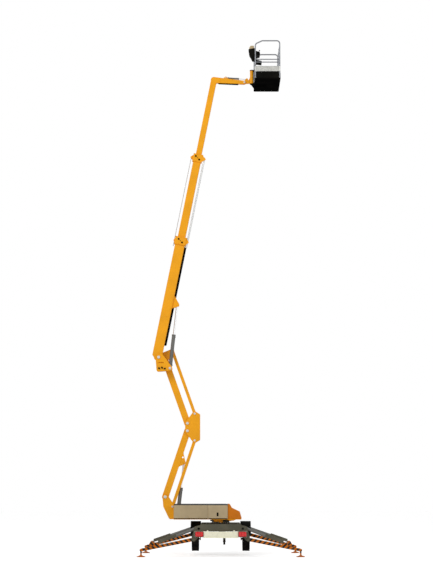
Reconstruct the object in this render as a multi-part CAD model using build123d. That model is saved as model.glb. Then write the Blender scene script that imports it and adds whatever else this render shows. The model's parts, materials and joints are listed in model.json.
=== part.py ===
from build123d import *
import math
import os

# Trailer-mounted articulating boom lift, standing on its four outriggers.
# Millimetres, +Z up, +Y towards the drawbar, X across the trailer.
# While modelling, X = Y = 0 on the slewing axis. ROW_SHIFT then moves every piece
# to the row origin, the bottom centre of the whole machine.

# ---- driving dimensions ---------------------------------------------------
PIN_FIT = 0.06            # radial running clearance of every pin
FACE_GAP = 0.3            # gap between faces that slide or turn on each other
SIDE_GAP = 5              # gap between parts that pass each other

TYRE_RADIUS = 330
TYRE_WIDTH = 200
RIM_RADIUS = 195
TRACK = 1384
WHEEL_TOP = 770           # top of the tyres, below the mudguards' arms
HUB_HEIGHT = WHEEL_TOP - TYRE_RADIUS

LEG_ROW = 1600            # outrigger planes at Y = +LEG_ROW and -LEG_ROW
LEG_REACH = 2113          # foot pads stand this far from the trailer's middle
LEG_TIP_HEIGHT = 182
LEG_DEPTH = 86
LEG_WALL = 6
LEG_WIDTH = 90
PAD_RADIUS = 120

BEAM_HALF = 540           # cross beams reach X = +BEAM_HALF and -BEAM_HALF
BEAM_LOW = 672
BEAM_HIGH = 858
BEAM_WIDTH = 150
BEAM_WALL = 8

PEDESTAL_RADIUS = 240
DECK_BOTTOM = 969
DECK_THICK = 16
DECK_HALF = 600
COVER_LEFT = -1275
COVER_SEAM = -345
COVER_RIGHT = 190
COVER_HEIGHT = 400        # covers above the deck
COVER_WALL = 5
WEIGHT_LENGTH = 375       # counterweight beyond the covers
RISER_MID_Y = 130         # the riser's middle plane

ARM_LENGTH = 1910
ARM_ANGLE = 71.5
UPPER_LENGTH = 1850
UPPER_ANGLE = 109.6
ARM_DEPTH = 180
ARM_WALL = 8
ARM_WIDTH = 120
TIE_DEPTH = 84
TIE_WIDTH = 18
TIE_OFFSET = (200, 265)   # from an arm pin to its tie pin, sideways and in height
ARM_FOOT_OFFSET = (-249, 592)   # from the deck's left top edge
KNUCKLE_RISE = 208        # between the two arm pins on the knuckle
PLATE = 15                # riser and boom side plates
LIFT_FOOT_OFFSET = (340, -527)  # from the arm foot
LIFT_EYE = (509, 940)     # from the arm foot

BOOM_OFFSET = (-172, 66)  # boom pivot from the upper arm's top pin
BOOM_ANGLE = 78.7
BOOM_MID_Y = -130
LUFF_FOOT_OFFSET = (313, -305)  # from the boom pivot
LUFF_EYE = (1533, -206)   # along the boom and above it, from the boom pivot
BASE_SECTION = (270, 190, 6)    # depth, width, wall
MID_SECTION = (215, 150, 5)
TIP_SECTION = (165, 110, 5)
BASE_CENTRE = 52          # centre lines above the boom pivot
MID_CENTRE = 47
TIP_CENTRE = 40
SECTION_CORNER = 14
BASE_END = 3409
MID_END = 5802
TIP_END = 7974
MID_LAP = 700
TIP_LAP = 600

NECK_LENGTH = 865
NECK_ANGLE = -4.6
LEVEL_FOOT_OFFSET = (-521, 136)  # from the cage pin
LEVEL_EYE_OFFSET = (71, 95)
SWIVEL_OFFSET = 208

CAGE_INNER_OFFSET = 294   # cage's inner rail from the cage pin
CAGE_LENGTH = 677
CAGE_HALF = 770
CAGE_DROP = 75            # cage floor below the cage pin
CAGE_HEIGHT = 1100
CAGE_MID_RAIL = 555
CAGE_LOW_RAIL = 476
RAIL_RADIUS = 17
BAR_RADIUS = 14
RAIL_CORNER = 80
GATE_HALF = 250

DRAWBAR_END = 3150
COUPLING_HEIGHT = 560

# ---- points that follow from them ------------------------------------------


def at(origin, length, angle):
    """Point at a distance and a rise angle from an X, Z point."""
    turn = math.radians(angle)
    return (origin[0] + length * math.cos(turn), origin[1] + length * math.sin(turn))


def rise(start, end):
    return math.degrees(math.atan2(end[1] - start[1], end[0] - start[0]))


def beside(start, end, along, above):
    """Point along the line from start to end, and above it."""
    angle = rise(start, end)
    return at(at(start, along, angle), above, angle + 90)


def moved(point, dx, dz):
    return (point[0] + dx, point[1] + dz)


# An outrigger row is (Y plane, pivot height, lug along the leg, barrel length).
LEG_PIVOT_X = BEAM_HALF + 180
LEG_TOP = (BEAM_HALF + 112, BEAM_HIGH - 100)
REAR_ROW = (-LEG_ROW, BEAM_LOW - 207, 1000, 640)
FRONT_ROW = (LEG_ROW, BEAM_LOW - 127, 1250, 880)
LEG_LUG_HEIGHT = 85
LEG_TIP = (LEG_REACH, LEG_TIP_HEIGHT)


def leg_points(row):
    """Pivot and rod lug of the right-hand leg in a row."""
    pivot = (LEG_PIVOT_X, row[1])
    return pivot, beside(pivot, LEG_TIP, row[2], LEG_LUG_HEIGHT)


DECK_TOP = DECK_BOTTOM + DECK_THICK
COVER_TOP = DECK_TOP + COVER_HEIGHT
ARM_NEAR = RISER_MID_Y - ARM_WIDTH / 2
ARM_FAR = RISER_MID_Y + ARM_WIDTH / 2
TIE_INNER = ARM_WIDTH / 2 + 7       # tie bars beside the arms, from the riser's middle plane
PLATE_INNER = TIE_INNER + TIE_WIDTH + 8
PLATE_OUTER = PLATE_INNER + PLATE
PIN_HALF = PLATE_OUTER + 12
NEAR_CHANNEL = RISER_MID_Y - PIN_HALF - SIDE_GAP    # the folded riser lies between these two Y planes
FAR_CHANNEL = RISER_MID_Y + PIN_HALF + SIDE_GAP
ARM_FOOT = (COVER_LEFT + ARM_FOOT_OFFSET[0], DECK_TOP + ARM_FOOT_OFFSET[1])
ARM_TOP = at(ARM_FOOT, ARM_LENGTH, ARM_ANGLE)
UPPER_FOOT = moved(ARM_TOP, 0, KNUCKLE_RISE)
UPPER_TOP = at(UPPER_FOOT, UPPER_LENGTH, UPPER_ANGLE)
TIE_FOOT = moved(ARM_FOOT, TIE_OFFSET[0], -TIE_OFFSET[1])
TIE_TOP = moved(ARM_TOP, TIE_OFFSET[0], -TIE_OFFSET[1])
UPPER_TIE_FOOT = moved(UPPER_FOOT, TIE_OFFSET[0], TIE_OFFSET[1])
UPPER_TIE_TOP = moved(UPPER_TOP, TIE_OFFSET[0], TIE_OFFSET[1])
LIFT_FOOT = moved(ARM_FOOT, LIFT_FOOT_OFFSET[0], LIFT_FOOT_OFFSET[1])
LIFT_EYE_POINT = moved(ARM_FOOT, LIFT_EYE[0], LIFT_EYE[1])
BOOM_PIVOT = moved(UPPER_TOP, BOOM_OFFSET[0], BOOM_OFFSET[1])
LUFF_FOOT = moved(BOOM_PIVOT, LUFF_FOOT_OFFSET[0], LUFF_FOOT_OFFSET[1])


def on_boom(along, above):
    """X, Z point at a place measured from the boom pivot along the boom."""
    return at(at(BOOM_PIVOT, along, BOOM_ANGLE), above, BOOM_ANGLE + 90)


LUFF_EYE_POINT = on_boom(LUFF_EYE[0], LUFF_EYE[1])
NECK_CORNER = on_boom(TIP_END, TIP_CENTRE + 5)
CAGE_PIN = at(NECK_CORNER, NECK_LENGTH, NECK_ANGLE)
LEVEL_FOOT = moved(CAGE_PIN, LEVEL_FOOT_OFFSET[0], LEVEL_FOOT_OFFSET[1])
LEVEL_EYE = moved(CAGE_PIN, LEVEL_EYE_OFFSET[0], LEVEL_EYE_OFFSET[1])
SWIVEL_X = CAGE_PIN[0] + SWIVEL_OFFSET
SWIVEL_LOW = CAGE_PIN[1] - 25
SWIVEL_HIGH = CAGE_PIN[1] + 335
CAGE_INNER = CAGE_PIN[0] + CAGE_INNER_OFFSET
CAGE_OUTER = CAGE_INNER + CAGE_LENGTH
CAGE_FLOOR = CAGE_PIN[1] - CAGE_DROP
LAMP_FRONT = 75           # lamps stand this far out from the rear cross beam
ROW_SHIFT = -(DRAWBAR_END + 150 - LEG_ROW - BEAM_WIDTH / 2 - LAMP_FRONT) / 2

# ---- shapes ----------------------------------------------------------------


def slab(face, low, high):
    """Extrudes an X, Z outline between two Y planes."""
    return extrude(Plane.XZ.offset(-high) * face, amount=high - low)


def across(face, low, high):
    """Extrudes a Y, Z outline between two X planes."""
    return extrude(Plane.YZ.offset(low) * face, amount=high - low)


def twins(face, middle, inner, outer):
    """Two slabs of one outline, either side of a Y plane."""
    return slab(face, middle + inner, middle + outer) + slab(face, middle - outer, middle - inner)


def disc(point, radius):
    return Pos(point[0], point[1]) * Circle(radius)


def pin(point, radius, low, high):
    return slab(disc(point, radius), low, high)


def headed_pin(point, radius, middle, half, head):
    """Pin with a keeper head at each end."""
    shaft = pin(point, radius, middle - half, middle + half)
    return shaft + twins(disc(point, radius + head), middle, half - 8, half)


def strap(start, end, depth):
    """Round-ended bar outline between two pin centres."""
    middle = ((start[0] + end[0]) / 2, (start[1] + end[1]) / 2)
    length = math.dist(start, end)
    return Pos(middle[0], middle[1]) * Rot(0, 0, rise(start, end)) * SlotCenterToCenter(length, depth)


def cheek(*discs):
    """Plate outline wrapped tightly round discs given as (point, radius)."""
    edges = [edge for point, radius in discs for edge in disc(point, radius).edges()]
    return make_hull(edges)


def panel(*points):
    return make_face(Polyline(*points, close=True))


def block(x, y, z):
    """Box between (low, high) pairs on the three axes."""
    size = Box(x[1] - x[0], y[1] - y[0], z[1] - z[0])
    return Pos((x[0] + x[1]) / 2, (y[0] + y[1]) / 2, (z[0] + z[1]) / 2) * size


def span(side, inner, outer):
    """Low and high X of a stretch on the right side (1) or the left side (-1)."""
    return tuple(sorted((side * inner, side * outer)))


def upright(x, y, radius, low, high):
    return Pos(x, y, (low + high) / 2) * Cylinder(radius, high - low)


def laid(start, end, y):
    """Placement whose +X runs from start to end in the plane at y."""
    return Pos(start[0], y, start[1]) * Rot(0, -rise(start, end), 0)


def barrel(start, end, y, length, radius, bore, eye, eye_width, pin_radius, port_side=-1):
    """Cylinder barrel on its foot pin: eye, tube with a blind bore, ports and gland."""
    head = 34
    profile = Polyline((eye * 0.8, 0), (eye * 0.8, radius - 4), (eye * 0.8 + 4, radius),
                       (length - head, radius),
                       (length - head, radius + 5), (length - 4, radius + 5), (length, radius + 1), (length, bore),
                       (eye + 25, bore), (eye + 25, 0), close=True)
    tube = revolve(Plane.XZ * make_face(profile), axis=Axis.X)
    for along in (eye + 45, length - head - 30):
        tube += Pos(along, 0, port_side * (radius + 2)) * Cylinder(radius * 0.24, 16)
    tube -= Pos((length + eye + 25) / 2, 0, 0) * Rot(0, 90, 0) * Cylinder(bore, length - eye - 25)
    body = laid(start, end, y) * tube
    lug = pin(start, eye, y - eye_width / 2, y + eye_width / 2)
    hole = pin(start, pin_radius + PIN_FIT, y - eye_width, y + eye_width)
    return body + lug - hole


def ram(start, end, y, tail, radius, bore, eye, eye_width):
    """Cylinder rod: piston starting at tail inside the barrel, rod, and an eye with its own short pin."""
    reach = math.dist(start, end)
    profile = Polyline((tail, 0), (tail, bore - 0.2), (tail + 50, bore - 0.2),
                       (tail + 50, radius), (reach - eye * 1.7, radius), (reach - eye * 1.6, radius + 4),
                       (reach - eye * 0.6, radius + 4), (reach - eye * 0.6, 0), close=True)
    rod = laid(start, end, y) * revolve(Plane.XZ * make_face(profile), axis=Axis.X)
    lug = pin(end, eye, y - eye_width / 2, y + eye_width / 2)
    return rod + lug


def section_tube(section, centre, start, end):
    """Rectangular boom tube along +X, with its wall and rolled corners."""
    depth, width, wall = section
    outer = RectangleRounded(width, depth, SECTION_CORNER)
    inner = RectangleRounded(width - 2 * wall, depth - 2 * wall, SECTION_CORNER - wall)
    return extrude(Plane.YZ.offset(start) * Pos(0, centre) * (outer - inner), amount=end - start)


BOOM_PLACE = Pos(BOOM_PIVOT[0], BOOM_MID_Y, BOOM_PIVOT[1]) * Rot(0, -BOOM_ANGLE, 0)
parts = {}

# ---- chassis ---------------------------------------------------------------
BRACKET_INNER = 55        # half gap between the two plates that hold a leg
BRACKET_PLATE = 12
LEG_PIN = 25
LEG_TOP_PIN = 20
RAIL_X = 230
RAIL_WIDTH = 90
RAIL_LOW = BEAM_LOW + 20
RAIL_HIGH = BEAM_HIGH - 20


def square_tube(width, depth, length, wall):
    """Rolled tube along +Z, centred on the origin."""
    face = RectangleRounded(width, depth, 2 * wall) - RectangleRounded(width - 2 * wall, depth - 2 * wall,
                                                                       wall)
    return extrude(face, amount=length / 2, both=True)


def leg_bracket(row, side):
    """Pair of plates on a cross beam's end, with the leg pin, the cylinder pin and a stop web."""
    pivot = (side * LEG_PIVOT_X, row[1])
    top = (side * LEG_TOP[0], LEG_TOP[1])
    root = side * (BEAM_HALF - 90)
    outline = cheek((pivot, 56), (top, 52), ((root, BEAM_HIGH - 40), 38), ((root, BEAM_LOW + 40), 38))
    outline -= disc((side * (BEAM_HALF + 45), (BEAM_LOW + BEAM_HIGH) / 2 - 20), 32)
    plates = twins(outline, row[0], BRACKET_INNER, BRACKET_INNER + BRACKET_PLATE)
    plates += headed_pin(pivot, LEG_PIN, row[0], BRACKET_INNER + BRACKET_PLATE + 14, 12)
    plates += headed_pin(top, LEG_TOP_PIN, row[0], BRACKET_INNER + BRACKET_PLATE + 14, 10)
    return plates


chassis = Part()
for row in (REAR_ROW, FRONT_ROW):
    beam = square_tube(BEAM_HIGH - BEAM_LOW, BEAM_WIDTH, 2 * BEAM_HALF, BEAM_WALL)
    chassis += Pos(0, row[0], (BEAM_LOW + BEAM_HIGH) / 2) * Rot(0, 90, 0) * beam
    for side in (-1, 1):
        chassis += leg_bracket(row, side)
RAIL_SPAN = LEG_ROW - BEAM_WIDTH / 2
SADDLE_HALF = 300
SADDLE_THICK = 14
for side in (-1, 1):
    rail = square_tube(RAIL_WIDTH, RAIL_HIGH - RAIL_LOW, 2 * RAIL_SPAN, BEAM_WALL)
    chassis += Pos(side * RAIL_X, 0, (RAIL_LOW + RAIL_HIGH) / 2) * Rot(90, 0, 0) * rail
    for end in (-1, 1):
        corner = (side * (RAIL_X + RAIL_WIDTH / 2 - 2), end * (RAIL_SPAN + 2))
        brace = panel(corner, (corner[0] + side * 190, corner[1]), (corner[0], corner[1] - end * 190))
        chassis += extrude(Plane.XY.offset(RAIL_HIGH - 12) * brace, amount=12)
for y in (-620, 620):
    chassis += block((-RAIL_X, RAIL_X), (y - 45, y + 45), (RAIL_LOW + 10, RAIL_HIGH - 10))
saddle = RectangleRounded(2 * SADDLE_HALF, 2 * SADDLE_HALF, 40)
chassis += extrude(Plane.XY.offset(RAIL_HIGH) * saddle, amount=SADDLE_THICK)
parts["chassis_frame"] = chassis

PEDESTAL_LOW = RAIL_HIGH + SADDLE_THICK
RING_HIGH = DECK_BOTTOM - 12
RING_TEETH = 90
RING_RADIUS = PEDESTAL_RADIUS + 50
TOOTH = 7
pedestal = Polyline((0, PEDESTAL_LOW), (PEDESTAL_RADIUS + 40, PEDESTAL_LOW),
                    (PEDESTAL_RADIUS + 40, PEDESTAL_LOW + 14),
                    (PEDESTAL_RADIUS, PEDESTAL_LOW + 18), (PEDESTAL_RADIUS, RING_HIGH - 34),
                    (PEDESTAL_RADIUS + 20, RING_HIGH - 30), (PEDESTAL_RADIUS + 20, RING_HIGH), (0, RING_HIGH), close=True)
ring_points = []
for tooth in range(RING_TEETH):
    for share, radius in ((-0.32, RING_RADIUS - TOOTH), (-0.14, RING_RADIUS), (0.14, RING_RADIUS),
                          (0.32, RING_RADIUS - TOOTH)):
        turn = 2 * math.pi * (tooth + share) / RING_TEETH
        ring_points.append((radius * math.cos(turn), radius * math.sin(turn)))
slew_ring = extrude(Plane.XY.offset(RING_HIGH - 38) * panel(*ring_points), amount=34)
parts["slew_pedestal"] = revolve(Plane.XZ * make_face(pedestal), axis=Axis.Z) + slew_ring

AXLE_BACK = 150           # torsion axle tube behind the wheel centres
AXLE_RISE = 75
AXLE_HALF = TRACK / 2 - TYRE_WIDTH / 2 - 20
SPINDLE_RADIUS = 20
axle_z = HUB_HEIGHT + AXLE_RISE
axle = Pos(0, AXLE_BACK, axle_z) * Rot(0, 90, 0) * square_tube(80, 80, 2 * AXLE_HALF, 7)
arm_outline = cheek(((0, HUB_HEIGHT), 42), ((AXLE_BACK, axle_z), 48))
for side in (-1, 1):
    axle += across(arm_outline, *span(side, AXLE_HALF - 26, AXLE_HALF))
    axle += Pos(side * (AXLE_HALF + 58), 0, HUB_HEIGHT) * Rot(0, 90, 0) * Cylinder(SPINDLE_RADIUS, 122)
    hanger = panel((AXLE_BACK - 60, RAIL_LOW), (AXLE_BACK + 60, RAIL_LOW), (AXLE_BACK + 45, axle_z + 39),
                   (AXLE_BACK - 45, axle_z + 39))
    axle += across(hanger, *span(side, RAIL_X - 40, RAIL_X - 28))
    axle += across(hanger, *span(side, RAIL_X + 28, RAIL_X + 40))
parts["axle"] = axle

GUARD_INNER = TYRE_RADIUS + 145
GUARD_THICK = 6
GUARD_X = (540, 820)
GUARD_ARM_X = 690
guards = Part()
ring = disc((0, HUB_HEIGHT), GUARD_INNER + GUARD_THICK) - disc((0, HUB_HEIGHT), GUARD_INNER)
arch = ring & (Pos(0, HUB_HEIGHT + 150 + GUARD_INNER / 2) * Rectangle(2 * GUARD_INNER + 50,
                                                                      GUARD_INNER + 50))
lip = disc((0, HUB_HEIGHT), GUARD_INNER + 1) - disc((0, HUB_HEIGHT), GUARD_INNER - 24)
lip &= Pos(0, HUB_HEIGHT + 150 + GUARD_INNER / 2) * Rectangle(2 * GUARD_INNER + 50, GUARD_INNER + 50)
for side in (-1, 1):
    guards += across(arch, *span(side, *GUARD_X))
    guards += across(lip, *span(side, GUARD_X[1] - 6, GUARD_X[1]))
    guards += block(span(side, RAIL_X + RAIL_WIDTH / 2, GUARD_ARM_X + 25), (-25, 25),
                    (BEAM_HIGH - 60, BEAM_HIGH - 20))
    guards += block(span(side, GUARD_ARM_X - 25, GUARD_ARM_X + 25), (-25, 25),
                    (BEAM_HIGH - 60, HUB_HEIGHT + GUARD_INNER + 1))
parts["mudguards"] = guards

BOARD_BACK = -LEG_ROW - BEAM_WIDTH / 2
BOARD_LOW_EDGE = BEAM_LOW - 158
LAMP_SIZE = (226, 146)
LAMP_MIDDLE = (572, BEAM_LOW - 70)
BOARD_HALF = LAMP_MIDDLE[0] - LAMP_SIZE[0] / 2 - FACE_GAP
board = block((-BOARD_HALF, BOARD_HALF), (BOARD_BACK - 50, BOARD_BACK - 36), (BOARD_LOW_EDGE, BEAM_LOW - 4))
board += block((16 - BOARD_HALF, BOARD_HALF - 16), (BOARD_BACK - 54, BOARD_BACK - 49),
               (BOARD_LOW_EDGE + 34, BEAM_LOW - 24))
board += block((-BOARD_HALF, BOARD_HALF), (BOARD_BACK - 58, BOARD_BACK - 36),
               (BOARD_LOW_EDGE - 12, BOARD_LOW_EDGE))
for side in (-1, 1):
    board += block(span(side, 330, 370), (BOARD_BACK - 37, BOARD_BACK), (BEAM_LOW - 60, BEAM_LOW + 30))
    board += block(span(side, BOARD_HALF - 20, LAMP_MIDDLE[0] + LAMP_SIZE[0] / 2 + 4),
                   (BOARD_BACK - 45, BOARD_BACK - 34),
                   (LAMP_MIDDLE[1] - LAMP_SIZE[1] / 2 - 4, LAMP_MIDDLE[1] + LAMP_SIZE[1] / 2 + 4))
    board += block(span(side, 40, 70), (BOARD_BACK - 66, BOARD_BACK - 49),
                   (BOARD_LOW_EDGE - 12, BOARD_LOW_EDGE + 16))
parts["light_board"] = board

lamps = Part()
for side in (-1, 1):
    face = Pos(side * LAMP_MIDDLE[0], LAMP_MIDDLE[1]) * RectangleRounded(LAMP_SIZE[0], LAMP_SIZE[1], 24)
    lamp = slab(face, BOARD_BACK - LAMP_FRONT, BOARD_BACK - 45)
    lamps += chamfer(lamp.faces().sort_by(Axis.Y)[0].edges(), 7)
parts["lamps"] = lamps

DRAWBAR_ROOT = LEG_ROW + BEAM_WIDTH / 2
DRAWBAR_HALF = 50
drawbar_profile = panel((DRAWBAR_ROOT, BEAM_LOW + 30), (DRAWBAR_ROOT, BEAM_HIGH - 60),
                        (DRAWBAR_END - 130, COUPLING_HEIGHT + 58), (DRAWBAR_END - 130,
                                                                    COUPLING_HEIGHT - 48))
drawbar = across(drawbar_profile, -DRAWBAR_HALF, DRAWBAR_HALF)
for side in (-1, 1):
    brace = panel((side * 340, DRAWBAR_ROOT), (side * 250, DRAWBAR_ROOT), (side * 40, DRAWBAR_ROOT + 760),
                  (side * 40, DRAWBAR_ROOT + 900))
    drawbar += extrude(Plane.XY.offset(BEAM_LOW + 30) * brace, amount=60)
drawbar += Pos(0, DRAWBAR_END - 80, COUPLING_HEIGHT + 5) * Rot(90, 0, 0) * Cylinder(34, 120)
COUPLING_Y = DRAWBAR_END + 100
COUPLING_DROP = 35
head = panel((DRAWBAR_END - 60, COUPLING_HEIGHT - 45), (DRAWBAR_END - 60, COUPLING_HEIGHT + 52),
             (DRAWBAR_END + 20, COUPLING_HEIGHT + 58), (COUPLING_Y + 34, COUPLING_HEIGHT + 44),
             (COUPLING_Y + 50, COUPLING_HEIGHT + 10), (COUPLING_Y + 50, COUPLING_HEIGHT - COUPLING_DROP),
             (DRAWBAR_END + 20, COUPLING_HEIGHT - COUPLING_DROP))
drawbar += across(head, -40, 40)
drawbar -= Pos(0, COUPLING_Y, COUPLING_HEIGHT - COUPLING_DROP) * Sphere(30)
grip = strap((COUPLING_Y - 30, COUPLING_HEIGHT + 62), (DRAWBAR_END - 60, COUPLING_HEIGHT + 120), 26)
drawbar += across(grip, -13, 13)
lever = strap((DRAWBAR_END - 260, COUPLING_HEIGHT + 90), (DRAWBAR_END - 460, COUPLING_HEIGHT + 400), 30)
drawbar += across(lever, DRAWBAR_HALF, DRAWBAR_HALF + 12)
drawbar += across(cheek(((DRAWBAR_END - 260, COUPLING_HEIGHT + 90), 40),
                        ((DRAWBAR_END - 240, COUPLING_HEIGHT + 20), 30)),
                  DRAWBAR_HALF - 1, DRAWBAR_HALF + 8)
parts["drawbar"] = drawbar

JOCKEY_Y = DRAWBAR_END - 430
JOCKEY_X = DRAWBAR_HALF + 60
JOCKEY_RADIUS = 100
JOCKEY_WHEEL_Z = 300
JOCKEY_TOP = 980
jockey = upright(JOCKEY_X, JOCKEY_Y, 30, 440, JOCKEY_TOP) + upright(JOCKEY_X, JOCKEY_Y, 36, JOCKEY_TOP - 30,
                                                                    JOCKEY_TOP)
jockey += block((DRAWBAR_HALF, JOCKEY_X), (JOCKEY_Y - 40, JOCKEY_Y + 40),
                (COUPLING_HEIGHT - 5, COUPLING_HEIGHT + 75))
jockey += upright(JOCKEY_X, JOCKEY_Y, 41, COUPLING_HEIGHT - 5, COUPLING_HEIGHT + 75)
jockey += upright(JOCKEY_X, JOCKEY_Y, 24, JOCKEY_WHEEL_Z + 108, 445)
fork_outline = cheek(((JOCKEY_Y, JOCKEY_WHEEL_Z), 26), ((JOCKEY_Y, JOCKEY_WHEEL_Z + 112), 34))
fork = across(fork_outline, JOCKEY_X - 40, JOCKEY_X + 40)
fork -= Pos(JOCKEY_X, JOCKEY_Y, JOCKEY_WHEEL_Z - 1) * Box(64, 240, 222)
fork += Pos(JOCKEY_X, JOCKEY_Y, JOCKEY_WHEEL_Z) * Rot(0, 90, 0) * Cylinder(9, 90)
crank = Pos(JOCKEY_X, JOCKEY_Y - 60, JOCKEY_TOP + 10) * Box(24, 160, 12)
crank += upright(JOCKEY_X, JOCKEY_Y, 10, JOCKEY_TOP - 1, JOCKEY_TOP + 10)
crank += upright(JOCKEY_X, JOCKEY_Y - 128, 12, JOCKEY_TOP + 10, JOCKEY_TOP + 100)
parts["jockey_leg"] = jockey + fork + crank
hub = Cylinder(30, 62) + Cylinder(JOCKEY_RADIUS, 56) - Cylinder(9 + PIN_FIT, 80)
hub -= Pos(0, 0, 20) * (Cylinder(70, 20) - Cylinder(38, 20))
hub -= Pos(0, 0, -20) * (Cylinder(70, 20) - Cylinder(38, 20))
parts["jockey_wheel"] = Pos(JOCKEY_X, JOCKEY_Y, JOCKEY_WHEEL_Z) * Rot(0, 90, 0) * hub

# ---- road wheels -----------------------------------------------------------
half = TYRE_WIDTH / 2
GROOVE = 7
tread = [(TYRE_RADIUS - 34, -half), (TYRE_RADIUS - 9, -half + 14), (TYRE_RADIUS, -half + 40)]
for middle in (-36, 0, 36):
    tread += [(TYRE_RADIUS, middle - 4), (TYRE_RADIUS - GROOVE, middle - 3),
              (TYRE_RADIUS - GROOVE, middle + 3),
              (TYRE_RADIUS, middle + 4)]
tread += [(TYRE_RADIUS, half - 40), (TYRE_RADIUS - 9, half - 14), (TYRE_RADIUS - 34, half)]
sides = [(RIM_RADIUS + 30, half - 4), (RIM_RADIUS, half - 18), (RIM_RADIUS, -half + 18),
         (RIM_RADIUS + 30, -half + 4)]
tyre = revolve(Plane.XZ * panel(*tread, *sides), axis=Axis.Z)
rim_profile = panel((SPINDLE_RADIUS + PIN_FIT, -62), (60, -62), (70, -20), (RIM_RADIUS - 30, -20),
                    (RIM_RADIUS - 22, -half + 20), (RIM_RADIUS, -half + 20), (RIM_RADIUS, half - 20),
                    (RIM_RADIUS - 22, half - 20), (RIM_RADIUS - 30, 0), (90, 0), (72, 40), (45, 58),
                    (SPINDLE_RADIUS + PIN_FIT, 58))
rim = revolve(Plane.XZ * rim_profile, axis=Axis.Z)
rim -= PolarLocations(125, 10) * Cylinder(20, 80)
for name, side in (("left", -1), ("right", 1)):
    place = Pos(side * TRACK / 2, 0, HUB_HEIGHT) * Rot(0, side * 90, 0)
    parts["tyre_" + name] = place * tyre
    parts["rim_" + name] = place * rim

# ---- outriggers ------------------------------------------------------------
SHIELD_HALF = 50
SHIELD_HEIGHT = 86
SHIELD_LOW = -26
SHIELD_WALL = 4
SHIELD_LENGTH = 500
SHIELD_END = 74           # from the rod's eye


def leg_beam(row):
    """Right-hand leg: tapered box, lug plates on top, inspection slot inside, foot pad."""
    pivot, lug = leg_points(row)
    wide = LEG_WIDTH / 2
    angle = rise(pivot, LEG_TIP)
    length = math.dist(pivot, LEG_TIP)
    root = LEG_DEPTH / 2 + 4
    outer = cheek((pivot, root), (LEG_TIP, LEG_DEPTH / 2 - 6))
    inner = cheek((at(pivot, 90, angle), root - LEG_WALL - 1),
                  (at(LEG_TIP, -90, angle), LEG_DEPTH / 2 - 13))
    beam = slab(outer, row[0] - wide, row[0] + wide)
    beam -= slab(inner, row[0] - wide + LEG_WALL, row[0] + wide - LEG_WALL)
    slot = strap(at(pivot, 160, angle), at(pivot, 300, angle), 36)
    inside = row[0] - math.copysign(wide, row[0])
    beam -= slab(slot, inside - LEG_WALL - 2, inside + LEG_WALL + 2)
    beam += twins(disc(pivot, root - 6), row[0], wide - 1, wide + 6)
    beam -= pin(pivot, LEG_PIN + PIN_FIT, row[0] - wide - 9, row[0] + wide + 9)
    plate = cheek((lug, 30), (at(pivot, row[2] - 90, angle), 26), (at(pivot, row[2] + 90, angle), 26))
    beam += twins(plate, row[0], wide - 10, wide)
    beam += twins(disc(lug, 20), row[0], wide - 1, wide + 8)
    stem = LEG_TIP_HEIGHT - 20
    pad = Polyline((0, 0), (PAD_RADIUS - 8, 0), (PAD_RADIUS, 8), (PAD_RADIUS, 16), (PAD_RADIUS - 14, 18),
                   (56, 18),
                   (36, 44), (22, 60), (22, stem), (0, stem), close=True)
    beam += Pos(LEG_TIP[0], row[0], 0) * Rot(0, 0, 35) * revolve(Plane.XZ * make_face(pad), axis=Axis.Z)
    return beam


def shielded_ram(pivot, lug, row):
    """Leg cylinder's rod with the channel that shields it, both on the rod's eye."""
    rod = ram(LEG_TOP, lug, row[0], row[3] - 130, 18, 28, 30, 60)
    end = math.dist(LEG_TOP, lug) - SHIELD_END
    outer = block((end - SHIELD_LENGTH, end), (-SHIELD_HALF, SHIELD_HALF),
                  (SHIELD_LOW, SHIELD_LOW + SHIELD_HEIGHT))
    outer = chamfer(outer.edges().filter_by(Axis.X).sort_by(Axis.Z)[-2:], 9)
    inner_half = SHIELD_HALF - SHIELD_WALL
    inner = block((end - SHIELD_LENGTH - 1, end - 8), (-inner_half, inner_half),
                  (SHIELD_LOW - 1, SHIELD_LOW + SHIELD_HEIGHT - SHIELD_WALL))
    inner = chamfer(inner.edges().filter_by(Axis.X).sort_by(Axis.Z)[-2:], 6)
    return rod + laid(LEG_TOP, lug, row[0]) * (outer - inner)


for line, row in (("rear", REAR_ROW), ("front", FRONT_ROW)):
    pivot, lug = leg_points(row)
    pieces = {"leg_": leg_beam(row),
              "leg_barrel_": barrel(LEG_TOP, lug, row[0], row[3], 38, 28, 42, 80, LEG_TOP_PIN),
              "leg_rod_": shielded_ram(pivot, lug, row)}
    for kind, shape in pieces.items():
        parts[kind + line + "_right"] = shape
        parts[kind + line + "_left"] = mirror(shape, about=Plane.YZ)

# ---- turntable -------------------------------------------------------------
deck_right = COVER_RIGHT + WEIGHT_LENGTH - 5
deck_face = Pos((COVER_LEFT + deck_right) / 2, 0) * RectangleRounded(deck_right - COVER_LEFT, 2 * DECK_HALF,
                                                                     30)
deck = extrude(Plane.XY.offset(DECK_BOTTOM) * deck_face, amount=DECK_THICK)
deck += upright(0, 0, PEDESTAL_RADIUS + 20, RING_HIGH + FACE_GAP, DECK_BOTTOM)
channel_walls = (NEAR_CHANNEL - 8, FAR_CHANNEL)
for low in channel_walls:
    deck += block((COVER_LEFT + 10, COVER_RIGHT), (low, low + 8), (DECK_TOP, COVER_TOP - 20))
deck += block((COVER_SEAM - 2, COVER_SEAM + 2), (-DECK_HALF + 40, NEAR_CHANNEL - 8),
              (DECK_TOP, COVER_TOP - 40))
skid = panel((175, DECK_BOTTOM + 1), (240, DECK_BOTTOM - 32), (345, DECK_BOTTOM - 32),
             (420, DECK_BOTTOM + 1))
deck += slab(skid, -DECK_HALF + 20, -DECK_HALF + 260)
SLEW_DRIVE = (0, -(RING_RADIUS + 62))
deck += upright(SLEW_DRIVE[0], SLEW_DRIVE[1], 52, RING_HIGH - 60, DECK_BOTTOM)
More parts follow.
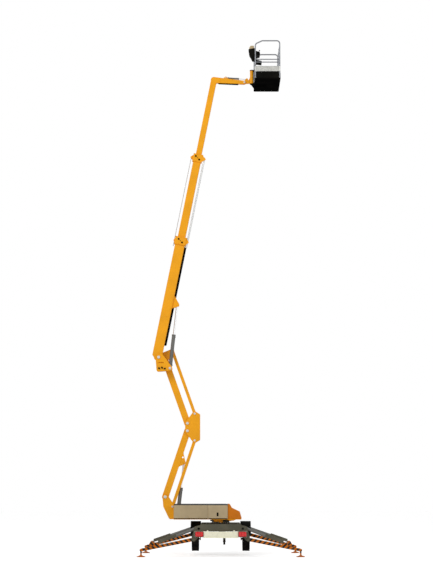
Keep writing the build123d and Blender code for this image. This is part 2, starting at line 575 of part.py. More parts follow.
deck += upright(SLEW_DRIVE[0], SLEW_DRIVE[1], 34, RING_HIGH - 72, RING_HIGH - 60)
deck += block((SLEW_DRIVE[0] - 190, SLEW_DRIVE[0]), (SLEW_DRIVE[1] - 34, SLEW_DRIVE[1] + 34),
              (RING_HIGH - 48, DECK_BOTTOM))
parts["turntable_deck"] = deck

CW_X = COVER_RIGHT + 2
weight_outline = panel((CW_X, DECK_TOP), (CW_X, COVER_TOP + 5), (CW_X + 52, COVER_TOP + 5),
                       (CW_X + 116, COVER_TOP - 105),
                       (CW_X + 325, COVER_TOP - 202), (CW_X + WEIGHT_LENGTH,
                                                       COVER_TOP - 380),
                                                       (CW_X + WEIGHT_LENGTH - 13, DECK_TOP))
weight = slab(weight_outline, -DECK_HALF, DECK_HALF)
weight = chamfer(weight.faces().sort_by(Axis.Y)[0].edges() + weight.faces().sort_by(Axis.Y)[-1].edges(), 9)
parts["counterweight"] = weight

FOOT_PIN = 35
TIE_PIN = 22
LIFT_PIN = 30
foot_plate = cheek((ARM_FOOT, 76), (TIE_FOOT, 52), (moved(ARM_FOOT, 8, -250), 62),
                   (moved(ARM_FOOT, 128, -555), 36),
                   (moved(LIFT_FOOT, 40, 0), 60))
bracket = twins(foot_plate, RISER_MID_Y, PLATE_INNER, PLATE_OUTER)
bracket += headed_pin(ARM_FOOT, FOOT_PIN, RISER_MID_Y, PIN_HALF, 14)
bracket += headed_pin(TIE_FOOT, TIE_PIN, RISER_MID_Y, PIN_HALF, 10)
bracket += pin(LIFT_FOOT, LIFT_PIN, RISER_MID_Y - PIN_HALF, RISER_MID_Y + PIN_HALF)
bracket += pin(moved(ARM_FOOT, 30, -330), 30, RISER_MID_Y - PLATE_INNER, RISER_MID_Y + PLATE_INNER)
seat = (moved(ARM_FOOT, 120, 0)[0], COVER_LEFT - FACE_GAP)
bracket += block(seat, (RISER_MID_Y - PLATE_INNER, RISER_MID_Y + PLATE_INNER), (DECK_BOTTOM, DECK_TOP + 15))
parts["riser_bracket"] = bracket

TANK_TOP = DECK_TOP + 290
power = chamfer(block((-1230, -780), (-560, -60), (DECK_TOP, TANK_TOP)).edges().filter_by(Axis.Z), 30)
power += upright(-1130, -430, 40, TANK_TOP - 1, TANK_TOP + 30)
engine = block((-740, -400), (-540, -80), (DECK_TOP, DECK_TOP + 170))
for fin in range(6):
    engine += block((-700, -440), (-520, -100), (DECK_TOP + 182 + 14 * fin, DECK_TOP + 188 + 14 * fin))
engine += block((-660, -480), (-480, -140), (DECK_TOP + 169, DECK_TOP + 262))
engine += Pos(-570, -530, DECK_TOP + 120) * Rot(90, 0, 0) * Cylinder(90, 40)
power += engine
batteries = Part()
for low in (-300, -70):
    batteries += block((low, low + 190), (-540, -330), (DECK_TOP, DECK_TOP + 210))
    for post in (low + 40, low + 150):
        batteries += upright(post, -500, 10, DECK_TOP + 209, DECK_TOP + 228)
power += batteries + block((-300, 140), (-300, -100), (DECK_TOP, DECK_TOP + 150))
for spool in range(5):
    power += upright(-250 + 80 * spool, -200, 22, DECK_TOP + 149, DECK_TOP + 235)
power += block((-1230, -620), (300, 560), (DECK_TOP, TANK_TOP))
power += block((-540, 120), (310, 560), (DECK_TOP, DECK_TOP + 190))
parts["power_pack"] = power

HOOD_BEND = 60


def hood(x, y, outer_low):
    """Moulded cover with a rolled outer edge and a raised rib, open on its inner side and underneath."""
    low, high = y
    edge = low if outer_low else high
    sign = 1 if outer_low else -1
    shell = block(x, y, (DECK_TOP + FACE_GAP, COVER_TOP))
    long_edges = shell.edges().filter_by(Axis.X).sort_by(Axis.Z)[-2:]
    shell = fillet([e for e in long_edges if abs(e.center().Y - edge) < 1], HOOD_BEND)
    cavity_y = (low + COVER_WALL, high + 1) if outer_low else (low - 1, high - COVER_WALL)
    cavity = block((x[0] + COVER_WALL, x[1] - COVER_WALL), cavity_y, (DECK_TOP - 1, COVER_TOP - COVER_WALL))
    inner_edges = cavity.edges().filter_by(Axis.X).sort_by(Axis.Z)[-2:]
    inner = edge + sign * COVER_WALL
    cavity = fillet([e for e in inner_edges if abs(e.center().Y - inner) < 1], HOOD_BEND - COVER_WALL)
    shell -= cavity
    rib = block((x[0] + 40, x[1] - 40), (min(y) + 120, max(y) - 90), (COVER_TOP - COVER_WALL, COVER_TOP))
    rib = Pos(0, 0, 4) * rib
    return shell + chamfer(rib.faces().sort_by(Axis.Z)[-1].edges(), 3)


HOOD_NEAR_Y = (-DECK_HALF - 20, NEAR_CHANNEL - 10)
HOOD_FAR_Y = (FAR_CHANNEL + 10, DECK_HALF + 20)
parts["near_hood_left"] = hood((COVER_LEFT + 2, COVER_SEAM - 3), HOOD_NEAR_Y, True)
parts["near_hood_right"] = hood((COVER_SEAM + 3, COVER_RIGHT - 2), HOOD_NEAR_Y, True)
parts["far_hood"] = hood((COVER_LEFT + 2, COVER_RIGHT - 2), HOOD_FAR_Y, False)

# ---- riser -----------------------------------------------------------------
ARM_PIN = 32
LUG_THICK = 16
LUG_INNER = 36            # lift rod's eye runs between two lug plates
ARM_BOSS = 58


def riser_arm(start, end, low_pin, high_pin):
    """Box arm with round ends, pin bosses, and access holes on its far side."""
    angle = rise(start, end)
    arm = slab(strap(start, end, ARM_DEPTH), ARM_NEAR, ARM_FAR)
    hollow = strap(at(start, 190, angle), at(end, -190, angle), ARM_DEPTH - 2 * ARM_WALL)
    arm -= slab(hollow, ARM_NEAR + ARM_WALL, ARM_FAR - ARM_WALL)
    for along in (250, math.dist(start, end) - 250):
        arm -= pin(at(start, along, angle), 40, ARM_FAR - ARM_WALL - 2, ARM_FAR + 1)
    for point in (start, end):
        arm += twins(disc(point, ARM_BOSS), RISER_MID_Y, ARM_WIDTH / 2 - 1, PLATE_INNER - SIDE_GAP)
    arm -= pin(start, low_pin + PIN_FIT, ARM_NEAR - 60, ARM_FAR + 60)
    arm -= pin(end, high_pin + PIN_FIT, ARM_NEAR - 60, ARM_FAR + 60)
    return arm


def tie_bars(start, end):
    """Pair of flat bars outside the arm, thickened round their pin holes."""
    bars = twins(strap(start, end, TIE_DEPTH), RISER_MID_Y, TIE_INNER, TIE_INNER + TIE_WIDTH)
    for point in (start, end):
        bars += twins(disc(point, TIE_DEPTH / 2), RISER_MID_Y, TIE_INNER - 5, TIE_INNER + TIE_WIDTH + 4)
        bars -= pin(point, TIE_PIN + PIN_FIT, ARM_NEAR - 60, ARM_FAR + 60)
    return bars


lower = riser_arm(ARM_FOOT, ARM_TOP, FOOT_PIN, ARM_PIN)
gusset = cheek((LIFT_EYE_POINT, 46), (at(ARM_FOOT, 900, ARM_ANGLE), 60),
               (at(ARM_FOOT, 1330, ARM_ANGLE), 60))
gusset -= disc(moved(at(ARM_FOOT, 1180, ARM_ANGLE), 105, -35), 26)
lower += twins(gusset, RISER_MID_Y, LUG_INNER, LUG_INNER + LUG_THICK)
lower += twins(disc(LIFT_EYE_POINT, 34), RISER_MID_Y, LUG_INNER, LUG_INNER + LUG_THICK + 8)
parts["lower_arm"] = lower
parts["lower_tie"] = tie_bars(TIE_FOOT, TIE_TOP)
parts["upper_arm"] = riser_arm(UPPER_FOOT, UPPER_TOP, ARM_PIN, ARM_PIN)
parts["upper_tie"] = tie_bars(UPPER_TIE_FOOT, UPPER_TIE_TOP)

KNUCKLE_RADIUS = 64
WEB = 20
knuckle_edge = ARM_TOP[0] + TIE_OFFSET[0] + 121
knuckle_mid = (ARM_TOP[1] + UPPER_FOOT[1]) / 2
knuckle_rise = TIE_OFFSET[1] + KNUCKLE_RISE / 2 - 35
knuckle_plate = cheek((ARM_TOP, KNUCKLE_RADIUS), (UPPER_FOOT, KNUCKLE_RADIUS), (TIE_TOP, KNUCKLE_RADIUS),
                      (UPPER_TIE_FOOT, KNUCKLE_RADIUS), ((knuckle_edge, knuckle_mid + knuckle_rise), 30),
                      ((knuckle_edge, knuckle_mid - knuckle_rise), 30))
knuckle = twins(knuckle_plate, RISER_MID_Y, PLATE_INNER, PLATE_OUTER)
for point, radius in ((ARM_TOP, ARM_PIN), (UPPER_FOOT, ARM_PIN), (TIE_TOP, TIE_PIN),
                      (UPPER_TIE_FOOT, TIE_PIN)):
    knuckle += headed_pin(point, radius, RISER_MID_Y, PIN_HALF, 12)
web_y = (RISER_MID_Y - PLATE_INNER, RISER_MID_Y + PLATE_INNER)
knuckle += block((knuckle_edge + 30 - WEB, knuckle_edge + 30), web_y,
                 (knuckle_mid - knuckle_rise, knuckle_mid + knuckle_rise))
knuckle += block((knuckle_edge - 60, knuckle_edge + 30 - WEB), web_y, (knuckle_mid - 8, knuckle_mid + 8))
parts["knuckle"] = knuckle

# The boom stands in a plane beside the riser. The king post's plates reach both.
BOOM_WIDE = BASE_SECTION[1] / 2
POST_GAP = 6
BOOM_PIN = 32
LUFF_PIN = 28
POST_INNER = BOOM_WIDE + POST_GAP
POST_OUTER = POST_INNER + PLATE
POST_SHARED = BOOM_MID_Y + POST_INNER       # plate between boom and riser
tube_low = moved(BOOM_PIVOT, 20, -330)
tube_high = moved(BOOM_PIVOT, -14, -128)
riser_plate = cheek((UPPER_TOP, 68), (UPPER_TIE_TOP, 48), (moved(BOOM_PIVOT, -10, 30), 62), (tube_high, 62))
boom_plate = cheek((BOOM_PIVOT, 88), (LUFF_FOOT, 62), (moved(BOOM_PIVOT, -8, -338), 52),
                   (moved(BOOM_PIVOT, 60, 40), 60))
slit = strap(moved(BOOM_PIVOT, -18, -150), moved(BOOM_PIVOT, 128, -150), 26)
post = slab(riser_plate, RISER_MID_Y + PLATE_INNER, RISER_MID_Y + PLATE_OUTER)
post += slab(riser_plate, POST_SHARED, RISER_MID_Y - PLATE_INNER)
post += slab(boom_plate, POST_SHARED, BOOM_MID_Y + POST_OUTER)
post += slab(boom_plate - slit, BOOM_MID_Y - POST_OUTER, BOOM_MID_Y - POST_INNER)
for point, radius in ((BOOM_PIVOT, BOOM_PIN), (LUFF_FOOT, LUFF_PIN)):
    post += pin(point, radius, BOOM_MID_Y - POST_OUTER - 12, BOOM_MID_Y + POST_INNER + 10)
    post += pin(point, radius + 16, BOOM_MID_Y - POST_OUTER - 8, BOOM_MID_Y - POST_OUTER)
for point, radius in ((UPPER_TOP, ARM_PIN), (UPPER_TIE_TOP, TIE_PIN)):
    post += pin(point, radius, POST_SHARED, RISER_MID_Y + PIN_HALF)
    post += pin(point, radius + 12, RISER_MID_Y + PLATE_OUTER, RISER_MID_Y + PIN_HALF)
post += pin(tube_low, 36, BOOM_MID_Y - POST_INNER, POST_SHARED)
post += pin(tube_high, 32, RISER_MID_Y - PLATE_INNER, RISER_MID_Y + PLATE_INNER)
parts["king_post"] = post

# ---- lift and luff cylinders -----------------------------------------------
LIFT_BARREL = 787
parts["lift_barrel"] = barrel(LIFT_FOOT, LIFT_EYE_POINT, RISER_MID_Y, LIFT_BARREL, 52, 40, 58, 100,
                              LIFT_PIN)
parts["lift_rod"] = ram(LIFT_FOOT, LIFT_EYE_POINT, RISER_MID_Y, LIFT_BARREL - 77, 28, 40, 40,
                        2 * (LUG_INNER - SIDE_GAP))
LUFF_BARREL = 946
parts["luff_barrel"] = barrel(LUFF_FOOT, LUFF_EYE_POINT, BOOM_MID_Y, LUFF_BARREL, 50, 38, 56, 120, LUFF_PIN)
parts["luff_rod"] = ram(LUFF_FOOT, LUFF_EYE_POINT, BOOM_MID_Y, LUFF_BARREL - 130, 27, 38, 44, 60)

# ---- telescopic boom, drawn along +X from its pivot -------------------------
PAD_GAP = 0.5
COLLAR_LENGTH = 220
BASE_GROW = 22
MID_GROW = 20
GUIDE_ROD = 9             # radius of the rod above the boom and of the pipes below it
PIPE_SIDE = -74           # pipes' plane, from the boom's middle
EAR = 40


def collar(section, centre, end, grow):
    """Thickened mouth of a section, with its edges eased."""
    depth, width, wall = section
    ring = RectangleRounded(width + 2 * grow, depth + 2 * grow, SECTION_CORNER + 8)
    ring -= RectangleRounded(width - wall, depth - wall, SECTION_CORNER - wall / 2)
    ring = extrude(Plane.YZ.offset(end - COLLAR_LENGTH) * Pos(0, centre) * ring, amount=COLLAR_LENGTH)
    rib = RectangleRounded(width + 2 * grow + 16, depth + 2 * grow + 16, SECTION_CORNER + 12)
    rib -= RectangleRounded(width + grow, depth + grow, SECTION_CORNER)
    for start in (end - COLLAR_LENGTH, end - 18):
        ring += extrude(Plane.YZ.offset(start) * Pos(0, centre) * rib, amount=18)
    return ring


def wear_pads(outer, outer_centre, inner, inner_centre, place, length):
    """Four sliding pads between a section and the one inside it."""
    top = outer_centre + outer[0] / 2 - outer[2]
    bottom = outer_centre - outer[0] / 2 + outer[2]
    inner_top = inner_centre + inner[0] / 2 + PAD_GAP
    inner_bottom = inner_centre - inner[0] / 2 - PAD_GAP
    side = outer[1] / 2 - outer[2]
    inner_side = inner[1] / 2 + PAD_GAP
    x = (place - length / 2, place + length / 2)
    pads = block(x, (-40, 40), (inner_top, top)) + block(x, (-40, 40), (bottom, inner_bottom))
    pads += block(x, (inner_side, side), (outer_centre - 60, outer_centre + 60))
    pads += block(x, (-side, -inner_side), (outer_centre - 60, outer_centre + 60))
    return pads


ROD_HEIGHT = BASE_CENTRE + BASE_SECTION[0] / 2 + BASE_GROW + 22
PIPE_HEIGHTS = (BASE_CENTRE - BASE_SECTION[0] / 2 - BASE_GROW - 22,
                BASE_CENTRE - BASE_SECTION[0] / 2 - BASE_GROW - 52)


def ears(section_low, section_high, end, hole):
    """Rounded ears on a collar: one above for the guide rod, one below for the two pipes."""
    middle = end - COLLAR_LENGTH / 2
    above = cheek(((middle - 60, section_high), EAR / 2), ((middle + 60, section_high), EAR / 2),
                  ((middle, ROD_HEIGHT), EAR / 2 + 4))
    low_pipe = min(PIPE_HEIGHTS)
    below = cheek(((middle - 70, section_low), EAR / 2), ((middle + 70, section_low), EAR / 2),
                  ((middle, low_pipe), EAR / 2 + 4))
    plates = slab(above, -18, 18) + slab(below, PIPE_SIDE - 18, PIPE_SIDE + 18)
    for y, z in ((0, ROD_HEIGHT), (PIPE_SIDE, PIPE_HEIGHTS[0]), (PIPE_SIDE, PIPE_HEIGHTS[1])):
        plates -= Pos(middle, y, z) * Rot(0, 90, 0) * Cylinder(hole, COLLAR_LENGTH)
    return plates


base_low = BASE_CENTRE - BASE_SECTION[0] / 2
base_high = BASE_CENTRE + BASE_SECTION[0] / 2
base = section_tube(BASE_SECTION, BASE_CENTRE, 30, BASE_END)
base += collar(BASE_SECTION, BASE_CENTRE, BASE_END, BASE_GROW)
base += ears(base_low - BASE_GROW + 4, base_high + BASE_GROW - 4, BASE_END, GUIDE_ROD + 1.5)
base += wear_pads(BASE_SECTION, BASE_CENTRE, MID_SECTION, MID_CENTRE, BASE_END - 60, 90)
tail_plate = cheek(((0, 0), 86), ((-20, 70), 60), ((330, base_high - 24), 20), ((330, base_low + 24), 20))
base += twins(tail_plate, 0, BOOM_WIDE - 8, BOOM_WIDE)
base += slab(cheek(((0, 0), 70), ((-10, 60), 50), ((36, base_high - 40), 30), ((36, base_low + 40), 30)),
             -BOOM_WIDE, BOOM_WIDE)
doubler = cheek(((LUFF_EYE[0] - 330, BASE_CENTRE - 40), 60), ((LUFF_EYE[0] + 330, BASE_CENTRE - 40), 60))
base += twins(doubler, 0, BOOM_WIDE - 1, BOOM_WIDE + 4)
lug_outline = cheek((LUFF_EYE, 60), ((LUFF_EYE[0] - 100, base_low + 20), 30),
                    ((LUFF_EYE[0] + 215, base_low + 20), 30))
lug_plates = twins(lug_outline, 0, 36, 52) + twins(disc(LUFF_EYE, 34), 0, 36, 58)
base += lug_plates - Pos(LUFF_EYE[0], 0, BASE_CENTRE) * Box(700, 2 * BOOM_WIDE - 10, BASE_SECTION[0] - 2)
base -= Rot(90, 0, 0) * Cylinder(BOOM_PIN + PIN_FIT, BASE_SECTION[1] + 20)
parts["boom_base"] = BOOM_PLACE * base

mid_low = MID_CENTRE - MID_SECTION[0] / 2
mid_high = MID_CENTRE + MID_SECTION[0] / 2
middle = section_tube(MID_SECTION, MID_CENTRE, BASE_END - MID_LAP, MID_END)
middle += collar(MID_SECTION, MID_CENTRE, MID_END, MID_GROW)
middle += ears(mid_low - MID_GROW + 4, mid_high + MID_GROW - 4, MID_END, GUIDE_ROD + FACE_GAP)
middle += wear_pads(MID_SECTION, MID_CENTRE, TIP_SECTION, TIP_CENTRE, MID_END - 60, 90)
parts["boom_middle"] = BOOM_PLACE * middle

rods = Part()
rod_ends = (BASE_END - COLLAR_LENGTH - 60, MID_END - COLLAR_LENGTH / 2 + EAR / 2)
for y, z in ((0, ROD_HEIGHT), (PIPE_SIDE, PIPE_HEIGHTS[0]), (PIPE_SIDE, PIPE_HEIGHTS[1])):
    rods += Pos(sum(rod_ends) / 2, y, z) * Rot(0, 90, 0) * Cylinder(GUIDE_ROD, rod_ends[1] - rod_ends[0])
parts["boom_pipes"] = BOOM_PLACE * rods

TRAY_SIDE = (BOOM_WIDE - 33, BOOM_WIDE + 3)
TRAY_X = (360, BASE_END - COLLAR_LENGTH - 20)
tray = block(TRAY_X, TRAY_SIDE, (base_low - 50, base_low))
tray -= block((TRAY_X[0] - 1, TRAY_X[1] + 1), (TRAY_SIDE[0] + 3, TRAY_SIDE[1] - 3),
              (base_low - 51, base_low - 3))
parts["hose_tray"] = BOOM_PLACE * tray

tip_tube = section_tube(TIP_SECTION, TIP_CENTRE, MID_END - TIP_LAP, TIP_END - 60)
neck_half = TIP_SECTION[1] / 2
FORK_HALF = 35
neck_outline = cheek((NECK_CORNER, 84), (at(NECK_CORNER, 120, NECK_ANGLE), 74), (CAGE_PIN, 46))
neck = slab(neck_outline, BOOM_MID_Y - neck_half, BOOM_MID_Y + neck_half)
neck -= pin(CAGE_PIN, 150, BOOM_MID_Y - FORK_HALF, BOOM_MID_Y + FORK_HALF)
neck -= pin(LEVEL_FOOT, 36, BOOM_MID_Y - 30, BOOM_MID_Y + 30)
neck += headed_pin(CAGE_PIN, 22, BOOM_MID_Y, neck_half + 12, 12)
neck += twins(cheek((at(NECK_CORNER, -60, BOOM_ANGLE), 60), (NECK_CORNER, 60),
                    (at(NECK_CORNER, 160, NECK_ANGLE), 40)),
              BOOM_MID_Y, neck_half - 1, neck_half + 6)
foot_lug = cheek((LEVEL_FOOT, 32), (moved(LEVEL_FOOT, -90, -60), 30), (moved(LEVEL_FOOT, 60, -70), 30))
neck += twins(foot_lug, BOOM_MID_Y, 28, 40)
neck += headed_pin(LEVEL_FOOT, 14, BOOM_MID_Y, 46, 6)
parts["boom_tip"] = BOOM_PLACE * tip_tube + neck

under = (at(NECK_CORNER, 150, NECK_ANGLE), at(CAGE_PIN, -190, NECK_ANGLE))
duct_start = moved(under[0], 0, -74)
duct_end = moved(under[1], 0, -56)
duct = slab(strap(duct_start, duct_end, 44), BOOM_MID_Y - 34, BOOM_MID_Y + 34)
parts["neck_duct"] = duct - slab(neck_outline, BOOM_MID_Y - neck_half, BOOM_MID_Y + neck_half)

# ---- cage mounting ---------------------------------------------------------
SWIVEL_RADIUS = 50
SWIVEL_PIN = 25
SWIVEL_BAND = 3
LUG_LOW = (CAGE_PIN[0] + 110, CAGE_PIN[1])
arm_outline = cheek((CAGE_PIN, 36), ((SWIVEL_X, CAGE_PIN[1] + 20), 45))
holder = slab(arm_outline, BOOM_MID_Y - 28, BOOM_MID_Y + 28)
holder += upright(SWIVEL_X, BOOM_MID_Y, SWIVEL_RADIUS, SWIVEL_LOW, SWIVEL_HIGH)
for low, high in ((SWIVEL_LOW, SWIVEL_LOW + 24), (SWIVEL_HIGH - 24, SWIVEL_HIGH)):
    holder += upright(SWIVEL_X, BOOM_MID_Y, SWIVEL_RADIUS + SWIVEL_BAND, low, high)
rib = panel((SWIVEL_X - 20, SWIVEL_HIGH - 60), (SWIVEL_X - 20, CAGE_PIN[1] + 20),
            (SWIVEL_X - 120, CAGE_PIN[1] + 20),
            (SWIVEL_X - 62, CAGE_PIN[1] + 120))
holder += slab(rib, BOOM_MID_Y - 8, BOOM_MID_Y + 8)
eye_lug = cheek((LEVEL_EYE, 26), (moved(CAGE_PIN, 10, 10), 30), (LUG_LOW, 30))
holder += twins(eye_lug, BOOM_MID_Y, 24, 34)
holder -= pin(CAGE_PIN, 22 + PIN_FIT, BOOM_MID_Y - 60, BOOM_MID_Y + 60)
holder -= upright(SWIVEL_X, BOOM_MID_Y, SWIVEL_PIN + PIN_FIT, SWIVEL_LOW - 5, SWIVEL_HIGH + 5)
parts["cage_bracket"] = holder
LEVEL_BARREL = 370
parts["level_barrel"] = barrel(LEVEL_FOOT, LEVEL_EYE, BOOM_MID_Y, LEVEL_BARREL, 22, 16, 26, 50, 14, 1)
parts["level_rod"] = ram(LEVEL_FOOT, LEVEL_EYE, BOOM_MID_Y, LEVEL_BARREL - 130, 10, 16, 20, 40)

# ---- cage ------------------------------------------------------------------
CAGE_NEAR = BOOM_MID_Y - CAGE_HALF
CAGE_FAR = BOOM_MID_Y + CAGE_HALF
FLOOR_THICK = 30
FLOOR_TOP = CAGE_FLOOR + FLOOR_THICK
MOUNT_X = (SWIVEL_X + SWIVEL_RADIUS + SWIVEL_BAND + SIDE_GAP, CAGE_INNER - RAIL_RADIUS)
MOUNT_LOW = CAGE_FLOOR - 105
mount = block(MOUNT_X, (BOOM_MID_Y - 90, BOOM_MID_Y + 90), (MOUNT_LOW, SWIVEL_HIGH + 30))
mount = chamfer(mount.edges().filter_by(Axis.X), 18)
for low, high in ((SWIVEL_LOW - 28, SWIVEL_LOW - 8), (SWIVEL_HIGH + 2, SWIVEL_HIGH + 22)):
    lug = block((SWIVEL_X, MOUNT_X[0] + 1), (BOOM_MID_Y - 55, BOOM_MID_Y + 55), (low, high))
    mount += lug + upright(SWIVEL_X, BOOM_MID_Y, 55, low, high)
mount += upright(SWIVEL_X, BOOM_MID_Y, SWIVEL_PIN, SWIVEL_LOW - 44, SWIVEL_HIGH + 34)
for low in (-60, 48):
    web = panel((MOUNT_X[0] + 1, SWIVEL_LOW - 22), (SWIVEL_X - 20, SWIVEL_LOW - 22),
                (MOUNT_X[0] + 1, MOUNT_LOW + 20))
    mount += slab(web, BOOM_MID_Y + low, BOOM_MID_Y + low + 12)
for side in (-1, 1):
    mount += block((MOUNT_X[0] + 1, CAGE_INNER + 330),
                   (BOOM_MID_Y + side * 70 - 15, BOOM_MID_Y + side * 70 + 15),
                   (CAGE_FLOOR - 30, CAGE_FLOOR))
parts["cage_mount"] = mount

floor = block((CAGE_INNER - RAIL_RADIUS, CAGE_OUTER + RAIL_RADIUS + 5),
              (CAGE_NEAR - RAIL_RADIUS, CAGE_FAR + RAIL_RADIUS),
              (CAGE_FLOOR, FLOOR_TOP))
floor = fillet(floor.edges().filter_by(Axis.Z), 30)
parts["cage_floor"] = chamfer(floor.faces().sort_by(Axis.Z)[0].edges(), 8)

RAIL_TOP = CAGE_FLOOR + CAGE_HEIGHT - RAIL_RADIUS
MID_RAIL = CAGE_FLOOR + CAGE_MID_RAIL
LOW_RAIL = CAGE_FLOOR + CAGE_LOW_RAIL
RAIL_DROP = 90            # hoop's inner shoulder below its top
BOARD_HIGH = CAGE_FLOOR + 218
BAND_HIGH = CAGE_FLOOR + 356
SHEET = 3


def rail(*points, radius=RAIL_RADIUS):
    """Round tube along one straight run, or bent through several with equal bends."""
    first = Line(points[0], points[1])
    ring = Plane(origin=points[0], z_dir=first % 0) * Circle(radius)
    if len(points) == 2:
        return extrude(ring, amount=first.length)
    return sweep(ring, path=FilletPolyline(*points, radius=RAIL_CORNER))


ends = Part()
for y in (CAGE_NEAR, CAGE_FAR):
    ends += rail((CAGE_INNER, y, FLOOR_TOP), (CAGE_INNER, y, RAIL_TOP - RAIL_DROP),
                 (CAGE_INNER + 190, y, RAIL_TOP),
                 (CAGE_OUTER, y, RAIL_TOP), (CAGE_OUTER, y, FLOOR_TOP))
    for height in (MID_RAIL, LOW_RAIL):
        ends += rail((CAGE_INNER, y, height), (CAGE_OUTER, y, height), radius=BAR_RADIUS)
    ends += block((CAGE_INNER, CAGE_OUTER), (y - SHEET / 2, y + SHEET / 2), (BOARD_HIGH + 4, BAND_HIGH))
    ends += rail((CAGE_INNER, y, BAND_HIGH), (CAGE_OUTER, y, BAND_HIGH), radius=9)
parts["cage_end_frames"] = ends

GATE_NEAR = BOOM_MID_Y - GATE_HALF
GATE_FAR = BOOM_MID_Y + GATE_HALF
SIDE_TOP = RAIL_TOP - RAIL_DROP - RAIL_CORNER / 2
SIDE_BARS = (SIDE_TOP, MID_RAIL)
sides = Part()
edge = RAIL_RADIUS
for height in SIDE_BARS:
    sides += rail((CAGE_INNER, CAGE_NEAR + edge, height), (CAGE_INNER, CAGE_FAR - edge, height),
                  radius=BAR_RADIUS)
    sides += rail((CAGE_OUTER, CAGE_NEAR + edge, height), (CAGE_OUTER, GATE_NEAR - 2 * RAIL_RADIUS, height),
                  radius=BAR_RADIUS)
    sides += rail((CAGE_OUTER, GATE_FAR + 2 * RAIL_RADIUS, height), (CAGE_OUTER, CAGE_FAR - edge, height),
                  radius=BAR_RADIUS)
for y in (GATE_NEAR - 2 * RAIL_RADIUS, GATE_FAR + 2 * RAIL_RADIUS):
    sides += rail((CAGE_OUTER, y, FLOOR_TOP), (CAGE_OUTER, y, SIDE_TOP + 25))
parts["cage_side_rails"] = sides

gate = Part()
for height in SIDE_BARS:
    gate += rail((CAGE_OUTER, GATE_NEAR, height), (CAGE_OUTER, GATE_FAR, height), radius=BAR_RADIUS)
for y in (GATE_NEAR + FACE_GAP, GATE_FAR - FACE_GAP):
    gate += rail((CAGE_OUTER, y, MID_RAIL - 60), (CAGE_OUTER, y, SIDE_TOP + 25))
parts["cage_gate"] = gate

BOARD_LOW = FLOOR_TOP
BOARD_THICK = 8
boards = Part()
inset = RAIL_RADIUS + 1
for y in (CAGE_NEAR - BOARD_THICK, CAGE_FAR):
    face = block((CAGE_INNER + inset, CAGE_OUTER - inset), (y, y + BOARD_THICK), (BOARD_LOW, BOARD_HIGH))
    boards += fillet(face.edges().filter_by(Axis.Y), 20)
for x in (CAGE_INNER + RAIL_RADIUS, CAGE_OUTER + RAIL_RADIUS):
    boards += block((x, x + 5), (CAGE_NEAR + inset, CAGE_FAR - inset), (BOARD_LOW, CAGE_FLOOR + 180))
parts["cage_toe_boards"] = boards

CONSOLE_HALF = 210
PANEL_TOP = SIDE_TOP - BAR_RADIUS - FACE_GAP
desk = panel((CAGE_INNER + 4, PANEL_TOP), (CAGE_INNER + 62, PANEL_TOP), (CAGE_INNER + 148, PANEL_TOP - 62),
             (CAGE_INNER + 140, PANEL_TOP - 92), (CAGE_INNER + 4, PANEL_TOP - 130))
console = slab(desk, BOOM_MID_Y - CONSOLE_HALF, BOOM_MID_Y + CONSOLE_HALF)
for side in (-1, 1):
    stick = Pos(CAGE_INNER + 92, BOOM_MID_Y + side * 95, PANEL_TOP - 20) * Rot(0, 32, 0)
    console += stick * (Cylinder(26, 12) + Pos(0, 0, 34) * Cylinder(9, 68) + Pos(0, 0, 72) * Sphere(17))
shelf = panel((CAGE_INNER + BAR_RADIUS + FACE_GAP, MID_RAIL + 10), (CAGE_INNER + 176, MID_RAIL - 30),
              (CAGE_INNER + 176, MID_RAIL - 92), (CAGE_INNER + BAR_RADIUS + FACE_GAP, MID_RAIL - 72))
console += slab(shelf, CAGE_NEAR + 60, CAGE_NEAR + 330)
holder_face = CAGE_INNER - BAR_RADIUS - FACE_GAP
tray_outline = panel((holder_face, MID_RAIL - 12), (holder_face, MID_RAIL + 330),
                     (holder_face - 172, MID_RAIL + 300),
                     (holder_face - 150, MID_RAIL + 150), (holder_face - 60, MID_RAIL - 12))
document = slab(tray_outline, CAGE_NEAR + 40, CAGE_NEAR + 240)
document -= slab(panel((holder_face - 14, MID_RAIL + 190), (holder_face - 14, MID_RAIL + 340),
                       (holder_face - 156, MID_RAIL + 320), (holder_face - 142, MID_RAIL + 190)),
                 CAGE_NEAR + 52, CAGE_NEAR + 228)
console += document
parts["cage_console"] = console

case_outline = panel((holder_face - 16, MID_RAIL + 190), (holder_face - 22, MID_RAIL + 400),
                     (holder_face - 110, MID_RAIL + 404), (holder_face - 152,
                                                           MID_RAIL + 350),
                                                           (holder_face - 138, MID_RAIL + 190))
parts["tool_case"] = slab(case_outline, CAGE_NEAR + 56, CAGE_NEAR + 224)

# ---- output ----------------------------------------------------------------
os.makedirs("parts", exist_ok=True)
for name, shape in parts.items():
    export_step(Pos(0, ROW_SHIFT, 0) * shape, "parts/" + name + ".step")
print(len(parts), "nodes, row shift", ROW_SHIFT)
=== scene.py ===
"""Looks of a trailer-mounted articulating boom lift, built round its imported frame.

Every length is in metres, in the row frame: X across the trailer, Y towards the drawbar, Z up.
"""

import json
import logging
import math
from dataclasses import dataclass, field
from enum import Enum
from typing import Iterator, Optional, Sequence

import bpy
import bmesh
from bpy.types import Material, Mesh, Node, NodeSocket as Socket, NodeTree, Object
from mathutils import Matrix, Vector

